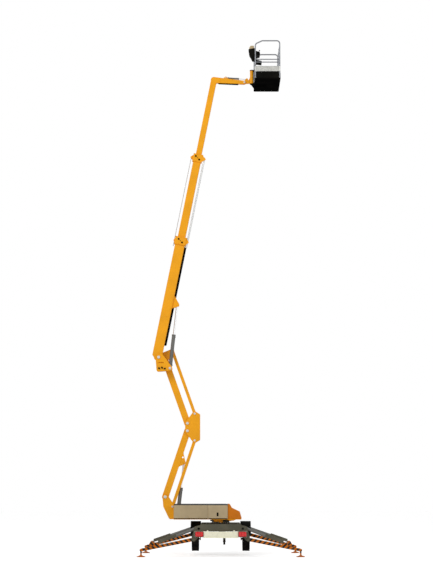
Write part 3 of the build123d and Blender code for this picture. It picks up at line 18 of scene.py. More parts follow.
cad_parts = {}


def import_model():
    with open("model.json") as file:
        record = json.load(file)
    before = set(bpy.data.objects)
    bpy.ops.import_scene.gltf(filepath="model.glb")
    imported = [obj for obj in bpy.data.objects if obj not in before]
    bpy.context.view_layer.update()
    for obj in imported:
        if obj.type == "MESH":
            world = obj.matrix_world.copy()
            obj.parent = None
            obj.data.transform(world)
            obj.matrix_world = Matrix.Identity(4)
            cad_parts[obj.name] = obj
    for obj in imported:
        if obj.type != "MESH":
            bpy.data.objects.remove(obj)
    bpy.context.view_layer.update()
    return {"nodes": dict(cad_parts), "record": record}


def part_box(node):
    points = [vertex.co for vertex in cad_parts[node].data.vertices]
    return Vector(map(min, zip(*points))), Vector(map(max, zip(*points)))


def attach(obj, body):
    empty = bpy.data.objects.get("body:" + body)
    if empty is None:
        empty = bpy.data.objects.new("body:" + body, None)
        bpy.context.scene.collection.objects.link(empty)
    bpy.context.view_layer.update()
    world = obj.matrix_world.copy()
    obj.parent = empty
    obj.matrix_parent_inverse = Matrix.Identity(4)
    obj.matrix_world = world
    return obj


log = logging.getLogger("boom_lift")

Colour = tuple[float, float, float]
Point = tuple[float, float, float]
Pair = tuple[float, float]
Profile = Sequence[Pair]


# ---- colour and node trees ----


def linear(red: int, green: int, blue: int) -> Colour:
    """Turns a display colour, 0 to 255 a channel, into scene-linear values."""
    shares = (red / 255, green / 255, blue / 255)
    return tuple(s / 12.92 if s <= 0.04045 else ((s + 0.055) / 1.055) ** 2.4 for s in shares)


def opaque(colour: object) -> object:
    """The colour with full alpha, or its socket as it is."""
    return (*colour, 1.0) if isinstance(colour, tuple) else colour


def link(name: str, data: object) -> Object:
    """Puts a new object into the scene.

    Args:
        name: Its name.
        data: Its mesh, light or camera.

    Returns:
        The object.
    """
    made = bpy.data.objects.new(name, data)
    bpy.context.scene.collection.objects.link(made)
    return made


@dataclass
class Tree:
    """A node tree being wired, for a finish or for a repeating shape."""

    source: NodeTree

    def wire(self, node: Node, inputs: dict[object, object]) -> None:
        """Feeds the inputs of a node.

        Args:
            node: The node.
            inputs: A socket to link or a constant to set, by the input's name or number.
        """
        for key, value in inputs.items():
            if isinstance(value, Socket):
                self.source.links.new(value, node.inputs[key])
            else:
                node.inputs[key].default_value = value

    def add(self, kind: str, inputs: Optional[dict] = None, **values: object) -> Node:
        """Adds a node, sets its properties and feeds its inputs.

        Args:
            kind: The node's type name.
            inputs: What its inputs get.
            values: Properties of the node.

        Returns:
            The new node.
        """
        node = self.source.nodes.new(kind)
        for name, value in values.items():
            setattr(node, name, value)
        self.wire(node, inputs or {})
        return node

    def math(self, operation: str, first: object, second: object = 0.0, **values: bool) -> Socket:
        """One arithmetic step on sockets or numbers."""
        inputs = {0: first, 1: second}
        return self.add("ShaderNodeMath", inputs, operation=operation, **values).outputs[0]

    def mix(self, share: object, low: object, high: object) -> Socket:
        """Blends two colours, with a share of the second from 0 to 1."""
        inputs = {0: share, 6: opaque(low), 7: opaque(high)}
        return self.add("ShaderNodeMix", inputs, data_type="RGBA").outputs[2]

    def span(self, value: Socket, given: Pair, wanted: Pair = (0.0, 1.0)) -> Socket:
        """Maps a value from one range to another, clamped."""
        inputs = dict(enumerate((value, *given, *wanted)))
        return self.add("ShaderNodeMapRange", inputs, clamp=True).outputs[0]

    def noise(
        self, where: Socket, scale: float, detail: float, stretch: Point = (1, 1, 1)
    ) -> Socket:
        """Cloudy variation read from a position.

        Args:
            where: Position socket.
            scale: Features per metre.
            detail: Octaves.
            stretch: Scale on each axis.

        Returns:
            Value socket, about 0.3 to 0.7.
        """
        place = self.add("ShaderNodeMapping", {"Vector": where, "Scale": stretch}).outputs[0]
        inputs = {"Vector": place, "Scale": scale, "Detail": detail}
        return self.add("ShaderNodeTexNoise", inputs).outputs["Fac"]

    def axes(self, where: Socket) -> tuple[Socket, ...]:
        """X, Y and Z of a position."""
        return tuple(self.add("ShaderNodeSeparateXYZ", {0: where}).outputs)

    def bump(self, height: Socket, distance: float, strength: float) -> Socket:
        """Normal of a relief, from its height, its depth in metres and the share that shows."""
        inputs = {"Strength": strength, "Distance": distance, "Height": height}
        return self.add("ShaderNodeBump", inputs).outputs[0]


# ---- finishes ----


@dataclass(frozen=True)
class Weather:
    """How every finish varies: what its noise is like, and what the noise changes."""

    tone_detail: float = 5.0
    tone_clouds: Pair = (0.35, 0.7)
    tone_depth: float = 2.2
    dirt_detail: float = 9.0
    dirt_clouds: Pair = (0.48, 0.72)
    splash_low: float = 0.1
    splash_shares: Pair = (0.25, 1.0)
    worn_scale: float = 14.0
    worn_detail: float = 6.0
    worn_clouds: Pair = (0.3, 0.75)
    worn_shares: Pair = (0.8, 1.35)
    grime_roughness: float = 0.5
    coat_roughness: float = 0.12
    relief_detail: float = 3.0
    relief_strength: float = 0.6


WEATHER = Weather()


@dataclass(frozen=True)
class Finish:
    """A surface of the machine: its colour, how it varies, and its gloss."""

    name: str
    colour: Colour
    roughness: float = 0.4
    metallic: float = 0.0
    tone: float = 0.12
    tone_scale: float = 3.0
    grain: float = 0.00008
    grain_scale: float = 350.0
    dirt: Colour = (0.17, 0.13, 0.09)
    dirt_share: float = 0.25
    dirt_scale: float = 5.0
    splash_height: float = 1.2
    coat: float = 0.0
    specular: float = 0.35

    def pattern(self, tree: Tree, where: Socket) -> object:
        """Base colour before dirt: plain here, a pattern in the finishes that have one.

        Args:
            tree: The finish's node tree.
            where: Position socket.

        Returns:
            A colour, or the colour's socket.
        """
        return self.colour

    def relief(self, tree: Tree, where: Socket) -> Socket:
        """Fine grain of the surface.

        Args:
            tree: The finish's node tree.
            where: Position socket.

        Returns:
            Normal socket.
        """
        height = tree.noise(where, self.grain_scale, WEATHER.relief_detail)
        return tree.bump(height, self.grain, WEATHER.relief_strength)

    def material(self) -> Material:
        """Builds the finish once.

        Returns:
            The material, made on first use and shared after that.
        """
        made = bpy.data.materials.get(self.name)
        if made is not None:
            return made
        made = bpy.data.materials.new(self.name)
        made.use_nodes = True
        tree = Tree(made.node_tree)
        where = tree.add("ShaderNodeTexCoord").outputs["Object"]
        clouds = tree.noise(where, self.tone_scale, WEATHER.tone_detail)
        base = self.pattern(tree, where)
        shade = {"Value": 1 - WEATHER.tone_depth * self.tone, "Color": opaque(base)}
        darker = tree.add("ShaderNodeHueSaturation", shade).outputs[0]
        toned = tree.mix(tree.span(clouds, WEATHER.tone_clouds), base, darker)
        height = tree.axes(where)[2]
        splash = (self.splash_height, WEATHER.splash_low)
        low_down = tree.span(height, splash, WEATHER.splash_shares)
        dirt = tree.noise(where, self.dirt_scale, WEATHER.dirt_detail)
        patches = tree.span(dirt, WEATHER.dirt_clouds)
        grime = tree.math("MULTIPLY", tree.math("MULTIPLY", patches, low_down), self.dirt_share)
        wear = tree.noise(where, WEATHER.worn_scale, WEATHER.worn_detail)
        gloss, dull = (self.roughness * share for share in WEATHER.worn_shares)
        worn = tree.span(wear, WEATHER.worn_clouds, (gloss, min(1.0, dull)))
        dusty = tree.math("MULTIPLY", grime, WEATHER.grime_roughness)
        surface = {
            "Base Color": tree.mix(grime, toned, self.dirt),
            "Roughness": tree.math("ADD", worn, dusty, use_clamp=True),
            "Metallic": self.metallic,
            "Coat Weight": self.coat,
            "Coat Roughness": WEATHER.coat_roughness,
            "Specular IOR Level": self.specular,
            "Normal": self.relief(tree, where),
        }
        tree.wire(tree.source.nodes["Principled BSDF"], surface)
        return made


@dataclass(frozen=True)
class HazardFinish(Finish):
    """Slanting black bands over paint, along a leg."""

    band: Colour = (0.012, 0.012, 0.012)
    pitch: float = 0.15
    share: float = 0.5
    pad_top: float = 0.105

    def pattern(self, tree: Tree, where: Socket) -> Socket:
        """Paint with slanting bands, mirrored on the two sides of the machine."""
        x, _, z = tree.axes(where)
        slanted = tree.math("SUBTRACT", tree.math("ABSOLUTE", x), z)
        turn = tree.math("FRACT", tree.math("DIVIDE", slanted, self.pitch))
        above_pad = tree.math("GREATER_THAN", z, self.pad_top)
        on_band = tree.math("MULTIPLY", tree.math("LESS_THAN", turn, self.share), above_pad)
        return tree.mix(on_band, self.colour, self.band)


@dataclass(frozen=True)
class CoverFinish(Finish):
    """Moulded cover with painted shade along its top, and a lighter panel beside the seam."""

    # Painted shade: the dark colour of the band between the two heights below stands for the shaded
    # rounded top of the cover.
    edge: Colour = (0.03, 0.03, 0.028)
    top_shade_height: float = 1.352
    top_shade_width: float = 0.1
    seam_x: float = -0.345
    lift: float = 0.10

    def pattern(self, tree: Tree, where: Socket) -> Socket:
        """Cover colour, lighter past the seam, with painted shade along its upper edge."""
        x, _, z = tree.axes(where)
        lighter = tuple(min(1.0, part * (1 + self.lift)) for part in self.colour)
        panel = tree.mix(tree.math("GREATER_THAN", x, self.seam_x), self.colour, lighter)
        # Painted shade: the band along the top is set to the dark colour, in place of the shade on
        # the rounded edge.
        in_top_shade = tree.math("GREATER_THAN", z, self.top_shade_height)
        low_enough = tree.math("LESS_THAN", z, self.top_shade_height + self.top_shade_width)
        return tree.mix(tree.math("MULTIPLY", in_top_shade, low_enough), panel, self.edge)


@dataclass(frozen=True)
class BrushedFinish(Finish):
    """Metal with fine lines along one direction."""

    stretch: Point = (40.0, 40.0, 3.0)
    line_scale: float = 12.0

    def relief(self, tree: Tree, where: Socket) -> Socket:
        """Fine drawn lines."""
        height = tree.noise(where, self.line_scale, WEATHER.relief_detail, self.stretch)
        return tree.bump(height, self.grain, WEATHER.relief_strength)


@dataclass(frozen=True)
class BandFinish(BrushedFinish):
    """Galvanised frame whose flat sheet, between two heights, is paler than its tubes."""

    sheet: Colour = (0.62, 0.62, 0.58)
    low: float = 13.309
    high: float = 13.447

    def pattern(self, tree: Tree, where: Socket) -> Socket:
        """Tube colour, with the paler sheet between its two edges."""
        height = tree.axes(where)[2]
        above = tree.math("GREATER_THAN", height, self.low)
        below = tree.math("LESS_THAN", height, self.high)
        return tree.mix(tree.math("MULTIPLY", above, below), self.colour, self.sheet)


@dataclass(frozen=True)
class LensFinish(Finish):
    """Moulded lamp lens with fine prisms."""

    prism: float = 0.008
    prism_depth: float = 0.002
    prism_strength: float = 0.8

    def relief(self, tree: Tree, where: Socket) -> Socket:
        """Square prisms moulded into the lens."""
        x, _, z = tree.axes(where)
        ridges = [tree.math("PINGPONG", axis, self.prism / 2) for axis in (x, z)]
        height = tree.math("MULTIPLY", tree.math("ADD", ridges[0], ridges[1]), 1 / self.prism)
        return tree.bump(height, self.prism_depth, self.prism_strength)


ORANGE = Finish("boom_enamel", linear(252, 172, 24), 0.4, tone=0.05, dirt_share=0.14, specular=0.2)
ARM_ORANGE = Finish(
    "riser_enamel", linear(220, 124, 14), 0.42, tone=0.06, dirt_share=0.2, specular=0.2,
)
LEG_PAINT = HazardFinish(
    "leg_paint", linear(205, 112, 14), 0.5, tone=0.1, dirt_share=0.35, specular=0.15,
)
CHASSIS = Finish("chassis_paint", linear(94, 91, 76), 0.55, tone=0.16, dirt_share=0.4, specular=0.2)
CYLINDER = Finish(
    "cylinder_paint", linear(112, 112, 108), 0.45, tone=0.1, dirt_share=0.3, specular=0.3,
)
CHROME = BrushedFinish(
    "chromed_rod", (0.75, 0.75, 0.76), 0.14, 1.0, tone=0.03, dirt_share=0.05, grain=0.00002,
)
CAP = Finish(
    "pin_cap_zinc", (0.72, 0.71, 0.66), 0.45, 0.3, tone=0.06, tone_scale=40.0, dirt_share=0.05,
)
ZINC = Finish(
    "plated_steel", (0.45, 0.45, 0.44), 0.36, 1.0, tone=0.1, tone_scale=40.0, dirt_share=0.25,
)
BLACK_PLASTIC = Finish(
    "moulded_black", (0.006, 0.006, 0.005), 0.6, tone=0.15, grain=0.0003, grain_scale=500.0,
    dirt_share=0.1, specular=0.02,
)
BLACK_PAINT = Finish(
    "black_enamel", (0.004, 0.004, 0.004), 0.7, tone=0.15, dirt_share=0.05, specular=0.0,
)
CREAM = Finish(
    "board_paint", linear(253, 250, 224), 0.5, tone=0.04, dirt_share=0.2, dirt_scale=14.0,
    specular=0.2,
)
RED_LENS = LensFinish(
    "moulded_red_lens", (0.8, 0.008, 0.01), 0.12, tone=0.05, dirt_share=0.05, coat=0.4,
)
TYRE = Finish(
    "ribbed_rubber", (0.007, 0.006, 0.006), 0.85, tone=0.2, grain=0.0005, grain_scale=240.0,
    dirt_share=0.2, specular=0.05,
)
RIM = Finish("rim_paint", (0.5, 0.5, 0.49), 0.4, 0.5, tone=0.08, dirt_share=0.4)
HOOD = CoverFinish(
    "hood_gelcoat", linear(186, 166, 130), 0.42, tone=0.06, grain=0.0001, dirt_share=0.18,
    coat=0.15, specular=0.25,
)
RAIL = BrushedFinish(
    "galvanised_tube", (0.26, 0.27, 0.29), 0.34, 0.9, tone=0.12, tone_scale=30.0, dirt_share=0.1,
)
END_FRAME = BandFinish(
    "end_frame", (0.26, 0.27, 0.29), 0.36, 0.6, tone=0.12, tone_scale=30.0, dirt_share=0.1,
)

SLOTS: dict[str, Finish] = {
    "orange_paint": ORANGE,
    "leg_stripes": LEG_PAINT,
    "chassis_grey": CHASSIS,
    "cylinder_grey": CYLINDER,
    "polished_rod": CHROME,
    "zinc_plate": ZINC,
    "black_plastic": BLACK_PLASTIC,
    "black_paint": BLACK_PAINT,
    "cream_board": CREAM,
    "red_lens": RED_LENS,
    "tyre_rubber": TYRE,
    "rim_paint": RIM,
    "hood_beige": HOOD,
    "rail_grey": RAIL,
}
SPECIAL: dict[str, Finish] = {"counterweight": ARM_ORANGE, "cage_end_frames": END_FRAME}


# ---- shapes and repeats ----

MERGE_DISTANCE = 1e-6
AXIS_RADIUS = 1e-5  # stands for zero, so that no ring collapses
BEVEL_ANGLE = 0.5
SMOOTH_ANGLE = 0.6


class Facing(Enum):
    """Which way a fitting looks."""

    NEAR = (0.0, -1.0, 0.0)
    FAR = (0.0, 1.0, 0.0)
    LEFT = (-1.0, 0.0, 0.0)
    RIGHT = (1.0, 0.0, 0.0)
    UP = (0.0, 0.0, 1.0)

    def turn(self) -> Matrix:
        """Rotation that takes +Z to this direction."""
        return Vector(self.value).to_track_quat("Z", "Y").to_matrix().to_4x4()


@dataclass(frozen=True)
class Spot:
    """Where a repeated fitting is seated, the way that it looks, and its scale."""

    place: Point
    facing: Facing
    size: float = 1.0


@dataclass
class Form:
    """A mesh drawn straight in its final place."""

    name: str
    mesh: bmesh.types.BMesh = field(default_factory=bmesh.new)

    def skin(self, rings: Sequence[Sequence[Vector]]) -> None:
        """Joins closed rings of points into one skin, and fills its two ends.

        Args:
            rings: Rings with the same number of points.
        """
        rows = [[self.mesh.verts.new(point) for point in ring] for ring in rings]
        count = len(rows[0])
        for low, high in zip(rows, rows[1:]):
            for step in range(count):
                after = (step + 1) % count
                self.mesh.faces.new((low[step], low[after], high[after], high[step]))
        self.mesh.faces.new(reversed(rows[0]))
        self.mesh.faces.new(rows[-1])

    def lathe(self, profile: Profile, place: Matrix, sides: int = 28) -> None:
        """Turns a profile of (radius, height) pairs about the local Z axis.

        Args:
            profile: Pairs from the bottom to the top.
            place: Where the local frame stands.
            sides: Flats round the turn.
        """
        angles = [2 * math.pi * step / sides for step in range(sides)]
        around = [(math.cos(turn), math.sin(turn)) for turn in angles]
        rings = []
        for radius, height in profile:
            reach = max(radius, AXIS_RADIUS)
            rings.append([place @ Vector((reach * x, reach * y, height)) for x, y in around])
        self.skin(rings)

    def prism(self, outline: Profile, span: Pair, order: str = "xyz") -> None:
        """Raises a flat outline between two levels.

        Args:
            outline: Pairs of coordinates.
            span: The two levels.
            order: Axes of the first coordinate, of the second, and of the levels.
        """
        rings = []
        for level in span:
            points = [dict(zip(order, (first, second, level))) for first, second in outline]
            rings.append([Vector([point[axis] for axis in "xyz"]) for point in points])
        self.skin(rings)

    def taper(self, outline: Profile, levels: Profile) -> None:
        """Stacks an outline at (scale, height) pairs.

        Args:
            outline: Points about the local Z axis.
            levels: Pairs from the bottom to the top.
        """
        rings = []
        for scale, height in levels:
            rings.append([Vector((x * scale, y * scale, height)) for x, y in outline])
        self.skin(rings)

    def block(self, low: Point, high: Point) -> None:
        """Plain box between two corners, to be bevelled with the rest of its piece."""
        outline = ((low[0], low[1]), (high[0], low[1]), (high[0], high[1]), (low[0], high[1]))
        self.prism(outline, (low[2], high[2]))

    def sharp(self, angle: float) -> list[bmesh.types.BMEdge]:
        """Edges where two faces meet at more than an angle, in radians."""
        paired = [edge for edge in self.mesh.edges if len(edge.link_faces) == 2]
        return [edge for edge in paired if edge.calc_face_angle(0) > angle]

    def bevel(self, width: float, segments: int = 2) -> None:
        """Rounds every sharp edge, to a width and in a number of steps."""
        bmesh.ops.recalc_face_normals(self.mesh, faces=self.mesh.faces)
        given = {"geom": self.sharp(BEVEL_ANGLE), "affect": "EDGES", "clamp_overlap": True}
        bmesh.ops.bevel(self.mesh, offset=width, segments=segments, **given)

    def make(self, finish: Finish, body: Optional[str] = None) -> Object:
        """Turns the drawing into a dressed object.

        Args:
            finish: Its finish.
            body: The body it rides on, or None for a shape that is only repeated.

        Returns:
            The object.
        """
        bmesh.ops.remove_doubles(self.mesh, verts=self.mesh.verts, dist=MERGE_DISTANCE)
        bmesh.ops.recalc_face_normals(self.mesh, faces=self.mesh.faces)
        for part in (*self.mesh.faces, *self.mesh.edges):
            part.smooth = True
        for edge in self.sharp(SMOOTH_ANGLE):
            edge.smooth = False
        data = bpy.data.meshes.new(self.name)
        self.mesh.to_mesh(data)
        self.mesh.free()
        data.materials.append(finish.material())
        made = link(self.name, data)
        if body is not None:
            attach(made, body)
            log.info("%s: %d faces on %s", self.name, len(data.polygons), body)
        return made


@dataclass
class Repeater:
    """Repeats one small shape through a node tree, and keeps the result as a plain mesh."""

    name: str
    shape: Object
    finish: Finish
    body: str
    values: dict[str, object] = field(default_factory=dict)

    def open(self, **extra: tuple[str, object]) -> None:
        """Starts the node tree with named inputs.

        Args:
            extra: Type and value of each input beyond the geometry, the shape and the finish.
        """
        self.group = bpy.data.node_groups.new(self.name, "GeometryNodeTree")
        sockets = self.group.interface
        sockets.new_socket("Geometry", in_out="INPUT", socket_type="NodeSocketGeometry")
        given = {"Shape": ("Object", self.shape), "Finish": ("Material", self.finish.material())}
        for name, (kind, value) in {**given, **extra}.items():
            made = sockets.new_socket(name, in_out="INPUT", socket_type="NodeSocket" + kind)
            self.values[made.identifier] = value
        sockets.new_socket("Geometry", in_out="OUTPUT", socket_type="NodeSocketGeometry")
        self.tree = Tree(self.group)
        self.given = self.tree.add("NodeGroupInput").outputs

    def instance(self, points: Socket, turn: Socket, size: object = (1, 1, 1)) -> Socket:
        """Sets the shape on points and makes it real.

        Args:
            points: Where the shapes stand.
            turn: Rotation of each.
            size: Scale of each.

        Returns:
            Socket of the real geometry.
        """
        info = {"Object": self.given["Shape"]}
        shape = self.tree.add("GeometryNodeObjectInfo", info, transform_space="ORIGINAL").outputs
        inputs = {"Points": points, "Instance": shape["Geometry"], "Rotation": turn, "Scale": size}
        many = self.tree.add("GeometryNodeInstanceOnPoints", inputs).outputs["Instances"]
        return self.tree.add("GeometryNodeRealizeInstances", {"Geometry": many}).outputs[0]

    def aim(self, direction: Socket, **values: str) -> Socket:
        """Rotation that takes an axis to a direction."""
        node = self.tree.add("FunctionNodeAlignRotationToVector", {"Vector": direction}, **values)
        return node.outputs[0]

    def settle(self, shapes: Socket, base: Mesh) -> None:
        """Ends the tree with its finish, runs it, and keeps its result as a piece.

        Args:
            shapes: The real geometry.
            base: Points or edges that the tree starts from.
        """
        inputs = {"Geometry": shapes, "Material": self.given["Finish"]}
        dressed = self.tree.add("GeometryNodeSetMaterial", inputs).outputs["Geometry"]
        self.tree.add("NodeGroupOutput", {0: dressed})
        carrier = link(self.name + "_carrier", base)
        modifier = carrier.modifiers.new("repeat", "NODES")
        modifier.node_group = self.group
        for identifier, value in self.values.items():
            modifier[identifier] = value
        ready = carrier.evaluated_get(bpy.context.evaluated_depsgraph_get())
        mesh = bpy.data.meshes.new_from_object(ready)
        mesh.name = self.name
        carrier.modifiers.remove(modifier)
        bpy.data.objects.remove(carrier)
        made = link(self.name, mesh)
        bpy.data.objects.remove(self.shape)
        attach(made, self.body)
        log.info("%s: %d faces on %s", self.name, len(mesh.polygons), self.body)

    def scatter(self, spots: Sequence[Spot]) -> None:
        """Sets the shape at each spot, its +Z along the spot's facing.

        Args:
            spots: The places.
        """
        self.open()
        kinds = (("facing", "FLOAT_VECTOR"), ("size", "FLOAT"))
        facing, size = (
            self.tree.add("GeometryNodeInputNamedAttribute", {"Name": name}, data_type=kind)
            for name, kind in kinds
        )
        turn = self.aim(facing.outputs[0], axis="Z")
        base = bpy.data.meshes.new(self.name + "_spots")
        base.from_pydata([spot.place for spot in spots], [], [])
        for name, kind in kinds:
            base.attributes.new(name, kind, "POINT")
        directions = [part for spot in spots for part in spot.facing.value]
        base.attributes["facing"].data.foreach_set("vector", directions)
        base.attributes["size"].data.foreach_set("value", [spot.size for spot in spots])
        self.settle(self.instance(self.given["Geometry"], turn, size.outputs[0]), base)

    def ring(self, centre: Point, facing: Facing, radius: float, count: int) -> None:
        """Sets the shape round a circle, its +X outwards and its +Z along the circle's axis.

        Args:
            centre: The circle's centre.
            facing: Its axis.
            radius: Its radius.
            count: How many shapes stand on it.
        """
        self.open(
            Count=("Int", count),
            Radius=("Float", radius),
            Centre=("Vector", centre),
            Turn=("Rotation", tuple(facing.turn().to_euler())),
        )
        inputs = {"Vertices": self.given["Count"], "Radius": self.given["Radius"]}
        circle = self.tree.add("GeometryNodeMeshCircle", inputs).outputs["Mesh"]
        outwards = self.tree.add("GeometryNodeInputPosition").outputs[0]
        shapes = self.instance(circle, self.aim(outwards, axis="X", pivot_axis="Z"))
        place = {"Translation": self.given["Centre"], "Rotation": self.given["Turn"]}
        moved = self.tree.add("GeometryNodeTransform", {"Geometry": shapes, **place}).outputs[0]
        self.settle(moved, bpy.data.meshes.new(self.name + "_base"))

    def follow(self, path: Sequence[Point], pitch: float) -> None:
        """Sets the shape at even steps along a path, its +X along it.

        Args:
            path: Points of the path.
            pitch: Length of a step.
        """
        self.open(Pitch=("Float", pitch))
        edges = {"Mesh": self.given["Geometry"]}
        curve = self.tree.add("GeometryNodeMeshToCurve", edges).outputs["Curve"]
        inputs = {"Curve": curve, "Length": self.given["Pitch"]}
        steps = self.tree.add("GeometryNodeResampleCurve", inputs, mode="LENGTH").outputs[0]
        along = self.tree.add("GeometryNodeInputTangent").outputs[0]
        turn = self.aim(along, axis="X", pivot_axis="AUTO")
        base = bpy.data.meshes.new(self.name + "_path")
        base.from_pydata(list(path), [(index, index + 1) for index in range(len(path) - 1)], [])
        self.settle(self.instance(steps, turn), base)


@dataclass(frozen=True)
class HexBolt:
    """Hexagon head on a washer, with its underside at z = 0."""

    across: float
    height: float
    washer: float
    washer_share: float = 0.25
    washer_rim: Pair = (0.8, 0.96)
    chamfer: float = 0.86
    washer_sides: int = 20

    def shape(self) -> Object:
        """Draws the bolt.

        Returns:
            The shape, to be repeated.
        """
        form = Form("bolt_shape")
        thick = self.height * self.washer_share
        rise, inset = self.washer_rim
        edge = ((self.washer, 0), (self.washer, thick * rise), (self.washer * inset, thick))
        form.lathe(edge, Matrix(), self.washer_sides)
        corner = self.across / math.sqrt(3)
        turns = [math.pi * side / 3 for side in range(6)]
        points = [(corner * math.cos(turn), corner * math.sin(turn)) for turn in turns]
        form.taper(points, ((1, thick), (1, self.height), (self.chamfer, self.height + thick)))
        return form.make(ZINC)


# Radii and heights of the domed cover, for a rim of radius 1.
CAP_PROFILE: Profile = (
    (1, 0), (1, 0.16), (0.9, 0.3), (0.5, 0.36), (0.34, 0.36), (0.34, 0.5), (0.28, 0.56), (0, 0.56)
)


def pin_cap(radius: float) -> Object:
    """Domed cover of a pivot pin, with a centre bolt, underside at z = 0.

    Args:
        radius: Radius of its rim.

    Returns:
        The shape, to be repeated.
    """
    form = Form("cap_shape")
    form.lathe([(radius * out, radius * up) for out, up in CAP_PROFILE], Matrix())
    return form.make(ZINC)


# ---- studio and viewpoint ----

SLEW_Y = -0.775  # the slewing axis


@dataclass(frozen=True)
class Lamp:
    """A soft square lamp: its name, where it hangs, the length of its side, and its power."""

    name: str
    place: Point
    size: float
    watts: float

    def hang(self, target: Point) -> None:
        """Hangs the lamp.

        Args:
            target: Point that it faces.
        """
        data = bpy.data.lights.new(self.name, "AREA")
        data.size = self.size
        data.energy = self.watts
        lamp = link(self.name, data)
        lamp.location = self.place
        aim = Vector(target) - Vector(self.place)
        lamp.rotation_euler = aim.to_track_quat("-Z", "Y").to_euler()


@dataclass
class Studio:
    """Pale floor, white surround and soft lamps."""

    floor_size: float = 240.0
    floor_grey: float = 0.82
    floor_roughness: float = 0.9
    floor_glow: float = 0.5
    mirror_share: float = 0.9
    light_level: float = 0.55
    centre: Point = (0.0, SLEW_Y, 6.0)
    lamps: tuple[Lamp, ...] = (
        Lamp("key_lamp", (-15, -22, 22), 12.0, 3000),
        Lamp("fill_lamp", (20, -18, 10), 14.0, 900),
    )

    def lay_floor(self) -> None:
        """A plain pale floor that stays white to the camera and keeps the shadow."""
        mesh = bpy.data.meshes.new("studio_floor")
        half = self.floor_size / 2
        corners = [(-half, -half, 0), (half, -half, 0), (half, half, 0), (-half, half, 0)]
        mesh.from_pydata(corners, [], [(0, 1, 2, 3)])
        floor = link("studio_floor", mesh)
        made = bpy.data.materials.new("studio_floor")
        made.use_nodes = True
        tree = Tree(made.node_tree)
        rays = tree.add("ShaderNodeLightPath").outputs
        seen = tree.math("MAXIMUM", rays["Is Camera Ray"], rays["Is Glossy Ray"])
        paint = {
            "Base Color": opaque((self.floor_grey,) * 3),
            "Roughness": self.floor_roughness,
            "Emission Color": (1, 1, 1, 1),
            "Emission Strength": tree.math("MULTIPLY", seen, self.floor_glow),
        }
        tree.wire(tree.source.nodes["Principled BSDF"], paint)
        mesh.materials.append(made)

    def fill_surround(self) -> None:
        """White to the camera and to mirrors, a soft level elsewhere."""
        world = bpy.data.worlds.new("studio_surround")
        world.use_nodes = True
        tree = Tree(world.node_tree)
        rays = tree.add("ShaderNodeLightPath").outputs
        seen = tree.math("MAXIMUM", rays["Is Camera Ray"], rays["Is Transmission Ray"])
        mirrored = tree.math("MULTIPLY", rays["Is Glossy Ray"], self.mirror_share)
        seen = tree.math("MAXIMUM", seen, mirrored)
        level = tree.math("MAXIMUM", seen, self.light_level)
        tree.wire(tree.source.nodes["Background"], {"Color": (1, 1, 1, 1), "Strength": level})
        bpy.context.scene.world = world

    def build(self) -> None:
        """Lays the floor, fills the surround and hangs the lamps."""
        self.lay_floor()
        self.fill_surround()
        for lamp in self.lamps:
            lamp.hang(self.centre)


@dataclass
class Viewpoint:
    """Where the machine is seen from."""

    x: float = -0.115
    distance: float = 48.0
    height: float = 1.66
    tilt: float = 6.75
    focal: float = 1735.0
    frame_height: float = 577.0
    sensor: float = 36.0
    reach: float = 500.0

    def build(self) -> None:
        """Sets up the camera."""
        data = bpy.data.cameras.new("viewpoint")
        data.sensor_width = self.sensor
        data.sensor_fit = "AUTO"
        data.lens = self.focal * self.sensor / self.frame_height
        data.clip_end = self.reach
        camera = link("viewpoint", data)
        camera.location = (self.x, SLEW_Y - self.distance, self.height)
        camera.rotation_euler = (math.radians(90 + self.tilt), 0, 0)
        bpy.context.scene.camera = camera


# ---- the machine ----


@dataclass
class Layout:
    """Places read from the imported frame."""

    record: dict

    def joint(self, name: str) -> dict:
        """The record's entry of a joint."""
        return {entry["name"]: entry for entry in self.record["behaviour"]["joints"]}[name]

    def pivot(self, name: str) -> Vector:
        """Where a joint turns."""
        return Vector(self.joint(name)["pos_m"])

    def direction(self, name: str) -> Vector:
        """The way that a joint slides."""
        return Vector(self.joint(name)["axis"]).normalized()


@dataclass
class PivotCaps:
    """Pale covers on the ends of the pivot pins."""

    layout: Layout
    radius: float = 0.034
    riser_half: float = 0.120
    post_near: float = 0.128
    neck_half: float = 0.067
    lever_half: float = 0.046
    tie: Pair = (0.200, 0.265)

    def rows(self) -> Iterator[tuple[str, Vector, float, float, tuple[Facing, ...]]]:
        """Every covered pin.

        Yields:
            Its body, its middle, how far out its covers sit, their size and the ways they face.
        """
        pivot = self.layout.pivot
        near, far, both = (Facing.NEAR,), (Facing.FAR,), (Facing.NEAR, Facing.FAR)
        out, (tie_x, tie_z) = self.riser_half, self.tie
        below, above = Vector((tie_x, 0, -tie_z)), Vector((tie_x, 0, tie_z))
        yield "turntable", pivot("riser"), out, 1.3, both
        yield "turntable", pivot("lower_tie_hinge"), out, 0.85, both
        yield "turntable", pivot("lift_barrel_hinge"), out, 0.8, both
        yield "knuckle", pivot("knuckle_hinge"), out, 1.15, both
        yield "knuckle", pivot("upper_riser"), out, 1.15, both
        yield "knuckle", pivot("knuckle_hinge") + below, out, 0.9, both
        yield "knuckle", pivot("upper_tie_hinge"), out, 0.9, both
        yield "king_post", pivot("luff"), self.post_near, 1.25, near
        yield "king_post", pivot("luff_barrel_hinge"), self.post_near, 1.1, near
        yield "king_post", pivot("king_post_hinge"), out, 1.15, far
        yield "king_post", pivot("king_post_hinge") + above, out, 0.9, far
        yield "boom_tip", pivot("cage_levelling"), self.neck_half, 0.8, both
        yield "boom_tip", pivot("level_barrel_hinge"), self.lever_half, 0.5, both

    def build(self) -> None:
        """Sets a cover on every pin end."""
        made: dict[str, list[Spot]] = {}
        for body, at, half, size, sides in self.rows():
            for side in sides:
                place = tuple(at + Vector(side.value) * half)
                made.setdefault(body, []).append(Spot(place, side, size))
        for body, spots in made.items():
            Repeater("pin_caps_" + body, pin_cap(self.radius), CAP, body).scatter(spots)


